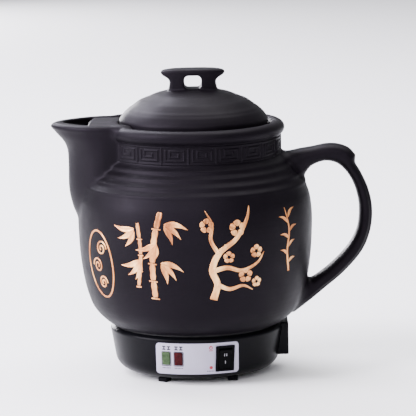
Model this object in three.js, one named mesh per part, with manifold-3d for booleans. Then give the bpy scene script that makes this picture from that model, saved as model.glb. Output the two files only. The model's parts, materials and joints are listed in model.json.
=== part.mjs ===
// Electric ceramic pot for simmering herbs, on a plastic base with heater, switch and mains inlet.
// Millimetres, +Z up. The spout points to -X, the handle to +X and the control panel to -Y.

import * as THREE from 'three';
import { mergeVertices } from 'three/addons/utils/BufferGeometryUtils.js';
import Module from 'manifold-3d';

const wasm = await Module();
wasm.setup();

// Clearances and tool sizes shared by all pieces
const seatGap = 0.3;
const overrun = 5;
const roundSides = 36;
const smallSides = 12;
const quarterTurn = Math.PI / 2;
const fullTurn = 2 * Math.PI;

// Base shell
const shellBottomHeight = 3.8;
const shellFlatInset = 14.6;
const shellCornerRadius = 12.6;
const shellTaper = THREE.MathUtils.degToRad(9.5);
const shellShoulderHeight = 35.4;
const shellTopHeight = 39.1;
const shellWall = 2.5;
const shellLipWall = 2.9;
const ledgeWidth = 3.9;
const ledgeDrop = 2.5;

// Ceramic vessel
const potSeamGap = 0.7;
const potSeamRadius = 66.8;
const potWall = 6.5;
const potFloor = 7;
const potFloorInset = 9.8;
const footRingWidth = 6;
const footRingDrop = 6.4;
const footRingClearance = 0.6;
const bellyRadius = 92;
const bellyHeight = 119;
const shoulderRadius = 86.6;
const shoulderRise = 30.6;
const neckRadius = 67.8;
const neckRise = 22.4;
const shoulderRidges = 4;
const shoulderRidgeRise = 1.2;
const fretBandRise = 0.6;
const fretBandEdge = 1;
const rimRadius = 71.2;
const rimThickness = 12;
const rimRise = 26.6;
const rimDepth = 11.2;
const galleryDepth = 6.9;
const galleryLedge = 5.1;
const galleryLedgeDepth = 3.5;
const galleryLedgeSlope = 5;

// Spout
const spoutReach = 112.2;
const spoutBodyReach = 98.6;
const spoutBack = 60;
const spoutHalfWidth = 35;
const spoutWall = 5.6;
const spoutLipWall = 6.8;
const spoutTopDrop = 0.2;
const spoutLipRadius = 3.6;
const spoutFootHeight = 119;
const bridgeThickness = 3.6;
const bridgeReach = 82;
const strainerHoleRadius = 3.2;
const strainerHolePitch = 11;
const strainerRise = 8.4;

// Handle
const handleReach = 139.7;
const handleTop = 180.8;
const handleFoot = 46;
const handleThickness = 11;
const handleWidth = 22;
const handleSides = 12;

// Lid
const lidRadius = 58.2;
const lidPlay = 0.9;
const lidWall = 5.5;
const lidSideRise = 1.8;
const lidDomeRise = 24.1;
const lidSkirtPlay = 1.5;
const lidSkirtWall = 4.5;
const lidSkirtDepth = 7.5;

// Knob of the lid
const knobLength = 51.6;
const knobDepth = 22;
const knobHeight = 15.3;
const knobPlateThickness = 6.6;
const knobPlateCrown = 1;
const knobWaist = 36.4;
const knobFootLength = 39;
const knobGapWidth = 13.4;
const knobGapCorner = 3.4;
const knobGapRoof = 4.9;

// Control panel and its windows
const panelThickness = 0.8;
const panelHalfWidth = 32.1;
const panelBottomHeight = 9.6;
const panelTopHeight = 34.6;
const panelCorner = 2.6;
const fittingHeight = 22.1;
const windowWidth = 6.2;
const windowHeight = 10.4;
const windowProud = 0.4;
const keepWarmAzimuth = THREE.MathUtils.degToRad(-21.3);
const boilAzimuth = THREE.MathUtils.degToRad(-12.7);

// Lamps behind the windows
const lampRadius = 2;
const lampLength = 8;
const lampBoardWidth = 24;
const lampBoardHeight = 12;
const circuitBoardThickness = 1.6;
const lampPostRadius = 1.8;
const lampPostInset = 2.6;

// Rocker switch
const switchAzimuth = THREE.MathUtils.degToRad(18.4);
const bezelWidth = 15;
const bezelHeight = 21;
const bezelThickness = 1.2;
const switchWall = 0.9;
const switchBodyWidth = 12.6;
const switchBodyHeight = 19;
const switchBodyDepth = 13;
const rockerPivotDepth = 2.4;
const rockerEndPlay = 1.1;
const rockerSidePlay = 0.35;
const rockerProud = 1.3;
const rockerDish = 1.3;
const rockerSkirt = 2.2;
const rockerKeelWidth = 5;
const rockerKeelDepth = 3;
const rockerPinRadius = 1.3;
const terminalWidth = 4.8;
const terminalThickness = 0.8;
const terminalReach = 6.5;
const terminalPitch = 6;

// Mains inlet
const inletReach = 5.1;
const inletSurroundHalfWidth = 15.5;
const inletSurroundBottom = 13.7;
const inletSurroundTop = 39.2;
const inletBodyHalfWidth = 13.8;
const inletBodyHeight = 18.6;
const inletCentreHeight = 24.4;
const inletBodyInset = 16.3;
const inletRecessHalfWidth = 12.1;
const inletRecessHeight = 15.6;
const inletRecessDepth = 16.2;
const inletRecessCorner = 4;
const inletPinPitch = 7;
const inletEarthRise = 3.2;
const inletPinHeight = 4;
const inletPinThickness = 2;
const inletPinSetback = 4.5;
const inletPinTail = 4.3;

// Bottom cover, its screws and the feet
const coverInset = 11.2;
const coverThickness = 1.8;
const coverFlangeWidth = 5.4;
const coverBossRadius = 3.6;
const coverBossHeight = 7;
const coverScrewInset = 2.8;
const screwShankRadius = 1.5;
const screwHeadRadius = 2.8;
const screwHeadHeight = 1.7;
const screwLength = 8;
const footInset = 2.2;
const footSize = 7.6;

// Heater, its clamp and spring
const heaterInset = 9.7;
const heaterThickness = 5.6;
const elementCircleRadius = 30;
const elementTubeRadius = 3.2;
const elementGapAngle = THREE.MathUtils.degToRad(30);
const elementBendRadius = 5;
const elementLegLength = 3;
const springRadius = 6;
const springWireRadius = 0.8;
const springTurns = 5;
const springHeight = 9.3;
const clampWidth = 19;
const clampThickness = 2;
const clampPostRadius = 4.5;
const clampPostInset = 6.9;
const clampEndMargin = 3;

// Thermostat, fuse and control board
const thermostatRadius = 6.6;
const thermostatHeight = 8;
const thermostatOffset = 15.6;
const clipWidth = 6;
const clipThickness = 0.9;
const fuseRadius = 2;
const fuseLength = 14;
const fuseOffset = 14;
const boardLength = 46;
const boardDepth = 30;
const standoffHeight = 2.2;
const standoffRadius = 2;
const standoffInset = 3;
const relayLength = 19;
const relayDepth = 15.5;
const relayHeight = 9.6;
const blockLength = 10;
const blockDepth = 16;
const blockHeight = 9;
const blockInset = 5;
const wireRadius = 1.1;

// Levels and places that follow from the sizes above
const potSeamHeight = shellTopHeight + potSeamGap;
const potUndersideHeight = potSeamHeight + seatGap;
const potFloorHeight = potUndersideHeight + potFloor;
const shellFlatRadius = potSeamRadius - shellFlatInset;
const shellWallLean = Math.tan(shellTaper);
const cornerTopHeight = shellBottomHeight + shellCornerRadius * (1 - Math.sin(shellTaper));
const cornerTopRadius = shellFlatRadius + shellCornerRadius * Math.cos(shellTaper);
const shellRadiusAt = (height) => cornerTopRadius + (height - cornerTopHeight) * shellWallLean;
const shellShoulderRadius = shellRadiusAt(shellShoulderHeight);
const lipOuterRadius = potSeamRadius + seatGap;
const lipInnerRadius = lipOuterRadius - shellLipWall;
const ledgeTopHeight = shellTopHeight - ledgeDrop;
const ledgeInnerRadius = lipInnerRadius - ledgeWidth;
const footRingRadius = ledgeInnerRadius - footRingClearance;
const footRingBottom = potUndersideHeight - footRingDrop;
const heaterRadius = footRingRadius - footRingWidth - heaterInset;
const clampPostCircleRadius = potSeamRadius - clampPostInset;
const coverRadius = shellFlatRadius - coverInset;
const footCircleRadius = shellFlatRadius - footInset;
const inletFace = potSeamRadius + inletReach;
const inletBodyBack = potSeamRadius - inletBodyInset;
const shoulderHeight = bellyHeight + shoulderRise;
const neckHeight = shoulderHeight + neckRise;
const rimTopHeight = neckHeight + rimRise;
const spoutTopHeight = rimTopHeight - spoutTopDrop;
const strainerHeight = shoulderHeight + strainerRise;
const lidSideHeight = rimTopHeight + lidSideRise;
const lidCrownHeight = lidSideHeight + lidDomeRise;
const knobTopHeight = lidCrownHeight + knobHeight;
const galleryRadius = lidRadius + lidPlay;
const galleryHeight = rimTopHeight - galleryDepth;
const galleryInnerRadius = galleryRadius - galleryLedge;
const heaterTopHeight = potUndersideHeight - seatGap;
const heaterUndersideHeight = heaterTopHeight - heaterThickness;
const clampTopHeight = heaterUndersideHeight - seatGap - springHeight - seatGap;
const coverTopHeight = shellBottomHeight + coverThickness;
const boardUndersideHeight = coverTopHeight + standoffHeight + seatGap;
const boardTopHeight = boardUndersideHeight + circuitBoardThickness;
const panelFace = seatGap + panelThickness;
const bezelBack = panelFace + seatGap;
const bezelFace = bezelBack + bezelThickness;

// The pot's axis is moved so that the whole object is centred on the origin
const axisShift = (spoutReach - handleReach) / 2;

// Turns a closed geometry into a solid that can be joined and cut
function toSolid(geometry) {
  const bare = geometry.clone();
  bare.deleteAttribute('normal');
  bare.deleteAttribute('uv');
  const merged = mergeVertices(bare);
  return new wasm.Manifold(new wasm.Mesh({
    numProp: 3,
    vertProperties: new Float32Array(merged.attributes.position.array),
    triVerts: new Uint32Array(merged.index.array),
  }));
}

// Turns a joined or cut solid back into a geometry
function toGeometry(solid) {
  const mesh = solid.getMesh();
  const geometry = new THREE.BufferGeometry();
  const positions = new Float32Array(mesh.vertProperties);
  geometry.setAttribute('position', new THREE.BufferAttribute(positions, 3));
  geometry.setIndex(new THREE.BufferAttribute(new Uint32Array(mesh.triVerts), 1));
  geometry.computeVertexNormals();
  return geometry;
}

// Body of revolution about Z from [radius, height] points, counter-clockwise
function revolve(outline, sides = roundSides) {
  const points = outline.map(([radius, height]) => new THREE.Vector2(radius, height));
  return new THREE.LatheGeometry(points, sides).rotateX(quarterTurn);
}

// Box between two corners
function block(low, high) {
  const [x0, y0, z0] = low;
  const [x1, y1, z1] = high;
  const box = new THREE.BoxGeometry(x1 - x0, y1 - y0, z1 - z0);
  return box.translate((x0 + x1) / 2, (y0 + y1) / 2, (z0 + z1) / 2);
}

// Upright cylinder from one height to another
function post(x, y, radius, low, high, sides = smallSides) {
  const cylinder = new THREE.CylinderGeometry(radius, radius, high - low, sides).rotateX(quarterTurn);
  return cylinder.translate(x, y, (low + high) / 2);
}

// Cylinder lying along X from one place to another
function crossRod(from, to, y, z, radius, sides = smallSides) {
  const cylinder = new THREE.CylinderGeometry(radius, radius, to - from, sides).rotateZ(quarterTurn);
  return cylinder.translate((from + to) / 2, y, z);
}

// Rectangle with rounded corners, centred
function roundedRectangle(width, height, corner) {
  const shape = new THREE.Shape();
  const right = width / 2;
  const top = height / 2;
  shape.moveTo(-right + corner, -top);
  shape.lineTo(right - corner, -top);
  shape.absarc(right - corner, -top + corner, corner, -quarterTurn, 0, false);
  shape.lineTo(right, top - corner);
  shape.absarc(right - corner, top - corner, corner, 0, quarterTurn, false);
  shape.lineTo(-right + corner, top);
  shape.absarc(-right + corner, top - corner, corner, quarterTurn, 2 * quarterTurn, false);
  shape.lineTo(-right, -top + corner);
  shape.absarc(-right + corner, -top + corner, corner, 2 * quarterTurn, 3 * quarterTurn, false);
  return shape;
}

// Prism of a shape, from one height to another
function prism(shape, low, high, curveSegments = 4) {
  const settings = { depth: high - low, bevelEnabled: false, curveSegments };
  return new THREE.ExtrudeGeometry(shape, settings).translate(0, 0, low);
}

// Prism of a shape drawn in X and Z, centred on Y
function prismAlongY(shape, depth, curveSegments = 8) {
  return prism(shape, -depth / 2, depth / 2, curveSegments).rotateX(quarterTurn);
}

// Round bar along a curve
function sweep(curve, radius, steps, sides) {
  const section = new THREE.Shape();
  for (let i = 0; i < sides; i += 1) {
    const angle = fullTurn * i / sides;
    const x = radius * Math.cos(angle);
    const y = radius * Math.sin(angle);
    if (i === 0) {
      section.moveTo(x, y);
    } else {
      section.lineTo(x, y);
    }
  }
  return new THREE.ExtrudeGeometry(section, { steps, extrudePath: curve, bevelEnabled: false });
}

// Points of an elliptic arc
function arc(centreX, centreY, radiusX, radiusY, start, end, steps) {
  const points = [];
  for (let i = 0; i <= steps; i += 1) {
    const angle = THREE.MathUtils.lerp(start, end, i / steps);
    points.push([centreX + radiusX * Math.cos(angle), centreY + radiusY * Math.sin(angle)]);
  }
  return points;
}

// Closed skin over equal rings of points, with a flat cap at each end
function loft(rings) {
  const count = rings[0].length;
  const positions = rings.flat().flatMap((point) => [point.x, point.y, point.z]);
  const index = [];
  for (let ring = 0; ring < rings.length - 1; ring += 1) {
    for (let i = 0; i < count; i += 1) {
      const a = ring * count + i;
      const b = ring * count + (i + 1) % count;
      index.push(a, b, b + count, a, b + count, a + count);
    }
  }
  const capCentre = (ring) => {
    const centre = new THREE.Vector3();
    ring.forEach((point) => centre.add(point));
    return centre.divideScalar(count);
  };
  const last = (rings.length - 1) * count;
  const firstCentre = positions.length / 3;
  const lastCentre = firstCentre + 1;
  positions.push(...capCentre(rings[0]).toArray(), ...capCentre(rings[rings.length - 1]).toArray());
  for (let i = 0; i < count; i += 1) {
    const next = (i + 1) % count;
    index.push(firstCentre, next, i);
    index.push(lastCentre, last + i, last + next);
  }
  const geometry = new THREE.BufferGeometry();
  geometry.setAttribute('position', new THREE.BufferAttribute(new Float32Array(positions), 3));
  geometry.setIndex(index);
  return geometry;
}

// Place on the leaning outer wall of the base shell: X to the right, Y up the wall, Z straight out
function wallPlace(azimuth, height = fittingHeight) {
  const radius = shellRadiusAt(height);
  const right = new THREE.Vector3(Math.cos(azimuth), Math.sin(azimuth), 0);
  const flatOut = new THREE.Vector3(Math.sin(azimuth), -Math.cos(azimuth), 0);
  const vertical = new THREE.Vector3(0, 0, 1);
  const out = flatOut.clone().multiplyScalar(Math.cos(shellTaper));
  out.addScaledVector(vertical, -Math.sin(shellTaper));
  const up = flatOut.clone().multiplyScalar(Math.sin(shellTaper));
  up.addScaledVector(vertical, Math.cos(shellTaper));
  const place = new THREE.Matrix4().makeBasis(right, up, out);
  return place.setPosition(flatOut.x * radius, flatOut.y * radius, height);
}

const keepWarmPlace = wallPlace(keepWarmAzimuth);
const boilPlace = wallPlace(boilAzimuth);
const lampPlace = wallPlace((keepWarmAzimuth + boilAzimuth) / 2);
const switchPlace = wallPlace(switchAzimuth);

// Half outline of the vessel between seam and belly, as shares of the way out and up
const lowerBodyShares = [
  [0, 0], [0.18, 0.037], [0.37, 0.093], [0.51, 0.147], [0.65, 0.23],
  [0.79, 0.375], [0.89, 0.54], [0.965, 0.75], [1, 1],
];

// Half outline between belly and shoulder, as shares of the way in and up
const upperBodyShares = [[0.06, 0.34], [0.28, 0.64], [0.62, 0.84], [1, 1]];

function bodyCurve(startRadius, startHeight, inset, lowerShares = lowerBodyShares) {
  const points = lowerShares.map(([outShare, upShare]) => [
    THREE.MathUtils.lerp(startRadius, bellyRadius - inset, outShare),
    THREE.MathUtils.lerp(startHeight, bellyHeight, upShare),
  ]);
  upperBodyShares.forEach(([inShare, upShare]) => points.push([
    THREE.MathUtils.lerp(bellyRadius, shoulderRadius, inShare) - inset,
    THREE.MathUtils.lerp(bellyHeight, shoulderHeight, upShare),
  ]));
  return points;
}

// The throwing ridges between shoulder and neck
function shoulderRidgePoints() {
  const stepsPerRidge = 3;
  const steps = shoulderRidges * stepsPerRidge;
  const run = new THREE.Vector2(neckRadius - shoulderRadius, neckHeight - shoulderHeight);
  const outward = new THREE.Vector2(run.y, -run.x).normalize();
  const points = [];
  for (let i = 1; i <= steps; i += 1) {
    const share = i / steps;
    const rise = shoulderRidgeRise * Math.abs(Math.sin(Math.PI * i / stepsPerRidge));
    points.push([
      shoulderRadius + run.x * share + outward.x * rise,
      shoulderHeight + run.y * share + outward.y * rise,
    ]);
  }
  return points;
}

// The rolled rim: an ellipse in section, open towards neck and gallery
function rimPoints() {
  const centreRadius = rimRadius - rimThickness / 2;
  const centreHeight = rimTopHeight - rimDepth / 2;
  const start = -Math.acos((neckRadius - centreRadius) / (rimThickness / 2));
  const end = Math.acos((galleryRadius + seatGap - centreRadius) / (rimThickness / 2));
  return arc(centreRadius, centreHeight, rimThickness / 2, rimDepth / 2, start, end, 8);
}

function neckPoints() {
  const bandRadius = neckRadius + fretBandRise;
  const bandBottom = neckHeight + fretBandEdge;
  const bandTop = rimPoints()[0][1] - fretBandEdge;
  return [
    [neckRadius, bandBottom],
    [bandRadius, bandBottom + fretBandRise],
    [bandRadius, bandTop - fretBandRise],
    [neckRadius, bandTop],
  ];
}

function vesselOutside() {
  return [
    [0, potUndersideHeight],
    [footRingRadius - footRingWidth, potUndersideHeight],
    [footRingRadius - footRingWidth, footRingBottom],
    [footRingRadius, footRingBottom],
    [footRingRadius, potUndersideHeight],
    [potSeamRadius, potUndersideHeight],
    ...bodyCurve(potSeamRadius, potUndersideHeight, 0).slice(1),
    ...shoulderRidgePoints(),
    ...neckPoints(),
    ...rimPoints(),
    [galleryRadius, rimTopHeight - rimDepth / 2],
    [0, rimTopHeight - rimDepth / 2],
  ];
}

// Inner floor to gallery; the wall keeps its thickness up to the neck
const floorRadius = potSeamRadius - potFloorInset;
const neckInnerRadius = neckRadius - potWall;

function vesselInside() {
  const slopeTop = galleryHeight - galleryLedgeDepth;
  const everyOther = lowerBodyShares.filter((share, i) => i % 2 === 0);
  return [
    [0, potFloorHeight],
    ...bodyCurve(floorRadius, potFloorHeight, potWall, everyOther),
    [neckInnerRadius, neckHeight],
    [neckInnerRadius, slopeTop - galleryLedgeSlope],
    [galleryInnerRadius, slopeTop],
    [galleryInnerRadius, galleryHeight],
    [galleryRadius, galleryHeight],
    [galleryRadius, rimTopHeight + overrun],
    [0, rimTopHeight + overrun],
  ];
}

// Half plan of the spout, as shares of its length and half width, from the pot to the nose
const spoutPlanShares = [
  [0, 1], [0.16, 0.97], [0.3, 0.925], [0.46, 0.83], [0.61, 0.68],
  [0.76, 0.5], [0.87, 0.34], [0.95, 0.18], [1, 0],
];

// How far the nose stands out at each level, as shares of the way from belly reach to lip
const spoutNoseShares = [
  [0, -0.95], [0.09, -0.5], [0.2, -0.2], [0.36, 0], [0.6, 0],
  [0.71, 0.05], [0.775, 0.15], [0.83, 0.36], [0.885, 0.66], [0.94, 0.97],
];

function spoutSection(nose, halfWidth, height) {
  const shares = spoutPlanShares;
  const point = ([lengthShare, widthShare], side) => new THREE.Vector3(
    -THREE.MathUtils.lerp(spoutBack, nose, lengthShare),
    side * halfWidth * widthShare,
    height,
  );
  const nearSide = shares.map((share) => point(share, -1));
  const farSide = shares.slice(0, -1).reverse().map((share) => point(share, 1));
  return [...nearSide, ...farSide].reverse();
}

function spoutLevels() {
  return spoutNoseShares.map(([heightShare, noseShare]) => ({
    height: THREE.MathUtils.lerp(spoutFootHeight, spoutTopHeight, heightShare),
    nose: THREE.MathUtils.lerp(spoutBodyReach, spoutReach, noseShare),
  }));
}

function spoutOutside() {
  const rings = spoutLevels().map(({ height, nose }) => spoutSection(nose, spoutHalfWidth, height));
  const lipSteps = 3;
  for (let i = 1; i <= lipSteps; i += 1) {
    const angle = quarterTurn * i / lipSteps;
    const inset = spoutLipRadius * (1 - Math.cos(angle));
    const height = spoutTopHeight - spoutLipRadius * (1 - Math.sin(angle));
    rings.push(spoutSection(spoutReach - inset, spoutHalfWidth - inset, height));
  }
  return loft(rings);
}

function spoutInside() {
  const lipShare = (height) => THREE.MathUtils.smoothstep(height, shoulderHeight, spoutTopHeight);
  const wallAt = (height) => THREE.MathUtils.lerp(spoutWall, spoutLipWall, lipShare(height));
  const channelLevels = spoutLevels().slice(1).filter((level, i) => i % 2 === 0);
  const rings = channelLevels.map(({ height, nose }) => (
    spoutSection(nose - wallAt(height), spoutHalfWidth - wallAt(height), height)
  ));
  const topNose = spoutReach - spoutLipWall;
  const topHalfWidth = spoutHalfWidth - spoutLipWall;
  rings.push(spoutSection(topNose, topHalfWidth, spoutTopHeight + overrun));
  return loft(rings);
}

// Stations along the handle: where its outer edge lies, as shares out from the neck and up from the
// handle's foot, and the step from there to its inner edge, as shares of its thickness
const handleStationShares = [
  [-0.081, 0.938, 0.00, -2.05], [0.072, 0.945, 0.55, -2.22], [0.211, 0.959, 0.24, -1.91],
  [0.350, 0.970, -0.09, -1.38], [0.503, 0.985, -0.23, -1.23], [0.636, 0.981, -0.38, -1.26],
  [0.747, 0.957, -0.61, -1.25], [0.818, 0.917, -0.76, -1.07], [0.816, 0.870, -0.54, -0.78],
  [0.879, 0.810, -0.65, -0.56], [0.954, 0.717, -0.84, -0.27], [0.994, 0.608, -0.94, -0.05],
  [0.975, 0.482, -0.97, 0.09], [0.883, 0.358, -1.06, 0.30], [0.691, 0.237, -1.01, 0.51],
  [0.476, 0.140, -0.91, 0.72], [0.260, 0.047, -1.00, 0.93], [0.128, 0.004, -1.00, 1.04],
];

function handle() {
  const outerEdge = handleStationShares.map(([outShare, upShare]) => new THREE.Vector3(
    THREE.MathUtils.lerp(neckRadius, handleReach, outShare),
    0,
    THREE.MathUtils.lerp(handleFoot, handleTop, upShare),
  ));
  const innerEdge = handleStationShares.map(([, , acrossShare, riseShare], i) => (
    new THREE.Vector3(acrossShare, 0, riseShare).multiplyScalar(handleThickness).add(outerEdge[i])
  ));
  const outerLine = new THREE.CatmullRomCurve3(outerEdge, false, 'centripetal');
  const innerLine = new THREE.CatmullRomCurve3(innerEdge, false, 'centripetal');
  const ringsPerStation = 2;
  const steps = ringsPerStation * (handleStationShares.length - 1);
  const rings = [];
  for (let i = 0; i <= steps; i += 1) {
    const outer = outerLine.getPoint(i / steps);
    const inner = innerLine.getPoint(i / steps);
    const ring = [];
    for (let j = 0; j < handleSides; j += 1) {
      const angle = fullTurn * j / handleSides;
      const point = outer.clone().lerp(inner, (1 + Math.cos(angle)) / 2);
      point.y = handleWidth / 2 * Math.sin(angle);
      ring.push(point);
    }
    rings.push(ring);
  }
  return loft(rings);
}

// Holes through the wall between the cavity and the spout
function strainerHoles() {
  const rows = [
    { height: strainerHeight + strainerHolePitch / 2, places: [-0.5, 0.5] },
    { height: strainerHeight - strainerHolePitch / 2, places: [-1, 0, 1] },
  ];
  const holes = [];
  rows.forEach(({ height, places }) => places.forEach((place) => {
    const y = place * strainerHolePitch;
    const end = -shoulderRadius - seatGap;
    holes.push(toSolid(crossRod(end, -spoutBack, y, height, strainerHoleRadius, 8)));
  }));
  return holes;
}

function potVessel() {
  const outside = toSolid(revolve(vesselOutside()));
  const inside = toSolid(revolve(vesselInside()));
  const bridgeLow = [-bridgeReach, -spoutHalfWidth, spoutTopHeight - bridgeThickness];
  const bridgeHigh = [0, spoutHalfWidth, spoutTopHeight + 2 * overrun];
  const channel = toSolid(spoutInside()).subtract(outside).subtract(toSolid(block(bridgeLow, bridgeHigh)));
  let vessel = outside.add(toSolid(spoutOutside())).add(toSolid(handle()));
  vessel = vessel.subtract(channel).subtract(inside);
  strainerHoles().forEach((hole) => {
    vessel = vessel.subtract(hole);
  });
  return toGeometry(vessel);
}

// Outline of the dome as shares of its radius and of its rise above the side
const domeShares = [
  [0.99, 0.05], [0.96, 0.15], [0.905, 0.29], [0.84, 0.43],
  [0.7, 0.635], [0.52, 0.815], [0.34, 0.93], [0.16, 0.985],
];

function lidOutline() {
  const skirtRadius = galleryInnerRadius - lidSkirtPlay;
  const flangeBottom = galleryHeight + seatGap;
  const skirtBottom = galleryHeight - lidSkirtDepth;
  const domePoint = (inset, [radiusShare, riseShare]) => [
    (lidRadius - inset) * radiusShare,
    THREE.MathUtils.lerp(lidSideHeight, lidCrownHeight, riseShare) - inset,
  ];
  const outer = domeShares.map((share) => domePoint(0, share));
  const hollow = domeShares.filter((share, i) => i % 2 === 1).map((share) => domePoint(lidWall, share));
  const skirtInner = skirtRadius - lidSkirtWall;
  const under = hollow.reverse().filter(([radius]) => radius < skirtInner);
  return [
    [0, lidCrownHeight - lidWall],
    ...under,
    [skirtInner, under[under.length - 1][1] - lidWall],
    [skirtInner, skirtBottom],
    [skirtRadius, skirtBottom],
    [skirtRadius, flangeBottom],
    [lidRadius, flangeBottom],
    [lidRadius, lidSideHeight],
    ...outer,
    [0, lidCrownHeight],
  ];
}

// Front outline of the knob: plate, waist and foot, with the finger gap through it
function knobFront() {
  const plateBottom = knobTopHeight - knobPlateThickness;
  const end = knobLength / 2;
  const edge = knobPlateThickness / 2;
  const plateMiddle = plateBottom + edge;
  const plateShoulder = knobTopHeight - knobPlateCrown;
  const waistHeight = (plateBottom + lidCrownHeight) / 2;
  const footHeight = lidCrownHeight - lidWall;
  const shape = new THREE.Shape();
  shape.moveTo(-knobFootLength / 2, footHeight);
  shape.lineTo(knobFootLength / 2, footHeight);
  shape.quadraticCurveTo(knobWaist / 2, lidCrownHeight, knobWaist / 2, waistHeight);
  shape.quadraticCurveTo(knobWaist / 2, plateBottom, end, plateMiddle);
  shape.quadraticCurveTo(end, plateShoulder, end - edge, plateShoulder);
  shape.quadraticCurveTo(knobWaist / 2, knobTopHeight, 0, knobTopHeight);
  shape.quadraticCurveTo(-knobWaist / 2, knobTopHeight, -end + edge, plateShoulder);
  shape.quadraticCurveTo(-end, plateShoulder, -end, plateMiddle);
  shape.quadraticCurveTo(-knobWaist / 2, plateBottom, -knobWaist / 2, waistHeight);
  shape.quadraticCurveTo(-knobWaist / 2, lidCrownHeight, -knobFootLength / 2, footHeight);
  return shape;
}

function knob() {
  const front = toSolid(prismAlongY(knobFront(), 2 * knobDepth));
  const ellipse = new THREE.Shape();
  ellipse.absellipse(0, 0, knobLength / 2 + seatGap, knobDepth / 2, 0, fullTurn, false, 0);
  const plan = toSolid(prism(ellipse, lidCrownHeight - lidWall, knobTopHeight + overrun, 18));
  const gapTop = knobTopHeight - knobGapRoof;
  const gapHeight = gapTop - lidCrownHeight;
  const gapShape = roundedRectangle(knobGapWidth, gapHeight, knobGapCorner);
  const gapCentre = lidCrownHeight + gapHeight / 2;
  const gap = toSolid(prismAlongY(gapShape, 2 * knobDepth, 4).translate(0, 0, gapCentre));
  return front.intersect(plan).subtract(gap);
}

function lid() {
  return toGeometry(toSolid(revolve(lidOutline())).add(knob()));
}

// Base shell: bottom ring, leaning wall and top ledge that carries the pot
function shellOutside(grow = 0) {
  const corner = shellCornerRadius + grow;
  const cornerArc = arc(shellFlatRadius, shellBottomHeight + shellCornerRadius, corner, corner,
    -quarterTurn, -shellTaper, 4);
  return [
    ...cornerArc,
    [shellShoulderRadius + grow, shellShoulderHeight],
    [(shellShoulderRadius + lipOuterRadius) / 2 + grow, (shellShoulderHeight + shellTopHeight) / 2],
    [lipOuterRadius + grow, shellTopHeight],
  ];
}

function shellOutline() {
  const innerCorner = shellCornerRadius - shellWall;
  const innerArc = arc(shellFlatRadius, shellBottomHeight + shellCornerRadius, innerCorner, innerCorner,
    -shellTaper, -quarterTurn, 3);
  const ledgeUnderside = ledgeTopHeight - shellWall;
  const rebateRadius = coverRadius + seatGap;
  const rebateHeight = coverTopHeight + seatGap;
  return [
    [rebateRadius, shellBottomHeight],
    ...shellOutside(),
    [lipInnerRadius, shellTopHeight],
    [lipInnerRadius, ledgeTopHeight],
    [ledgeInnerRadius, ledgeTopHeight],
    [ledgeInnerRadius, ledgeUnderside],
    [shellRadiusAt(ledgeUnderside) - shellWall, ledgeUnderside],
    ...innerArc,
    [rebateRadius + shellWall, shellBottomHeight + shellWall],
    [rebateRadius + shellWall, rebateHeight + shellWall],
    [rebateRadius - coverFlangeWidth, rebateHeight + shellWall],
    [rebateRadius - coverFlangeWidth, rebateHeight],
    [rebateRadius, rebateHeight],
    [rebateRadius, shellBottomHeight],
  ];
}

// Places at 45 degrees round the axis
function diagonalPlaces(radius, shares) {
  return shares.map((share) => {
    const angle = fullTurn * share;
    return [radius * Math.cos(angle), radius * Math.sin(angle)];
  });
}

const coverScrewPlaces = diagonalPlaces(coverRadius - coverScrewInset, [0.125, 0.375, 0.625, 0.875]);
const clampScrewPlaces = diagonalPlaces(clampPostCircleRadius, [0.125, 0.625]);
const clampPostTop = footRingBottom - seatGap;

// Box in a wall place, centred on it, between two depths
function fittingBox(width, height, back, front, place) {
  const low = [-width / 2, -height / 2, back];
  const high = [width / 2, height / 2, front];
  return block(low, high).applyMatrix4(place);
}

function windowCutters() {
  const width = windowWidth + 2 * seatGap;
  const height = windowHeight + 2 * seatGap;
  return [keepWarmPlace, boilPlace].map((place) => (
    toSolid(fittingBox(width, height, -shellWall - overrun, panelFace + overrun, place))
  ));
}

function switchCutter() {
  const width = switchBodyWidth + 2 * seatGap;
  const height = switchBodyHeight + 2 * seatGap;
  return toSolid(fittingBox(width, height, -shellWall - overrun, panelFace + overrun, switchPlace));
}

function screwHole(x, y, low, high) {
  return toSolid(post(x, y, screwShankRadius + seatGap, low, high));
}

const lampPostX = lampBoardWidth / 2 - lampPostInset;
const windowBack = -shellWall - 2 * seatGap;
const lampBoardFace = windowBack - seatGap - lampLength - seatGap;

function baseShell() {
  let shell = toSolid(revolve(shellOutline()));
  const bossBottom = coverTopHeight + seatGap;
  coverScrewPlaces.forEach(([x, y]) => {
    shell = shell.add(toSolid(post(x, y, coverBossRadius, bossBottom, bossBottom + coverBossHeight)));
  });
  clampScrewPlaces.forEach(([x, y]) => {
    shell = shell.add(toSolid(post(x, y, clampPostRadius, clampTopHeight + seatGap, clampPostTop)));
  });
  [-lampPostX, lampPostX].forEach((x) => {
    const peg = post(x, 0, lampPostRadius, lampBoardFace + seatGap, -shellWall / 2);
    shell = shell.add(toSolid(peg.applyMatrix4(lampPlace)));
  });
  coverScrewPlaces.forEach(([x, y]) => {
    shell = shell.subtract(screwHole(x, y, shellBottomHeight, bossBottom + screwLength - 2 * seatGap));
  });
  clampScrewPlaces.forEach(([x, y]) => {
    shell = shell.subtract(screwHole(x, y, clampTopHeight - overrun, clampPostTop - screwHeadHeight));
  });
  windowCutters().forEach((cutter) => {
    shell = shell.subtract(cutter);
  });
  shell = shell.subtract(switchCutter());
  const inletHalfWidth = inletBodyHalfWidth + seatGap;
  const inletHalfHeight = inletBodyHeight / 2 + seatGap;
  const inletLow = [inletBodyBack, -inletHalfWidth, inletCentreHeight - inletHalfHeight];
  const inletHigh = [inletFace + overrun, inletHalfWidth, inletCentreHeight + inletHalfHeight];
  shell = shell.subtract(toSolid(block(inletLow, inletHigh)));
  return toGeometry(shell);
}

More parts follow.
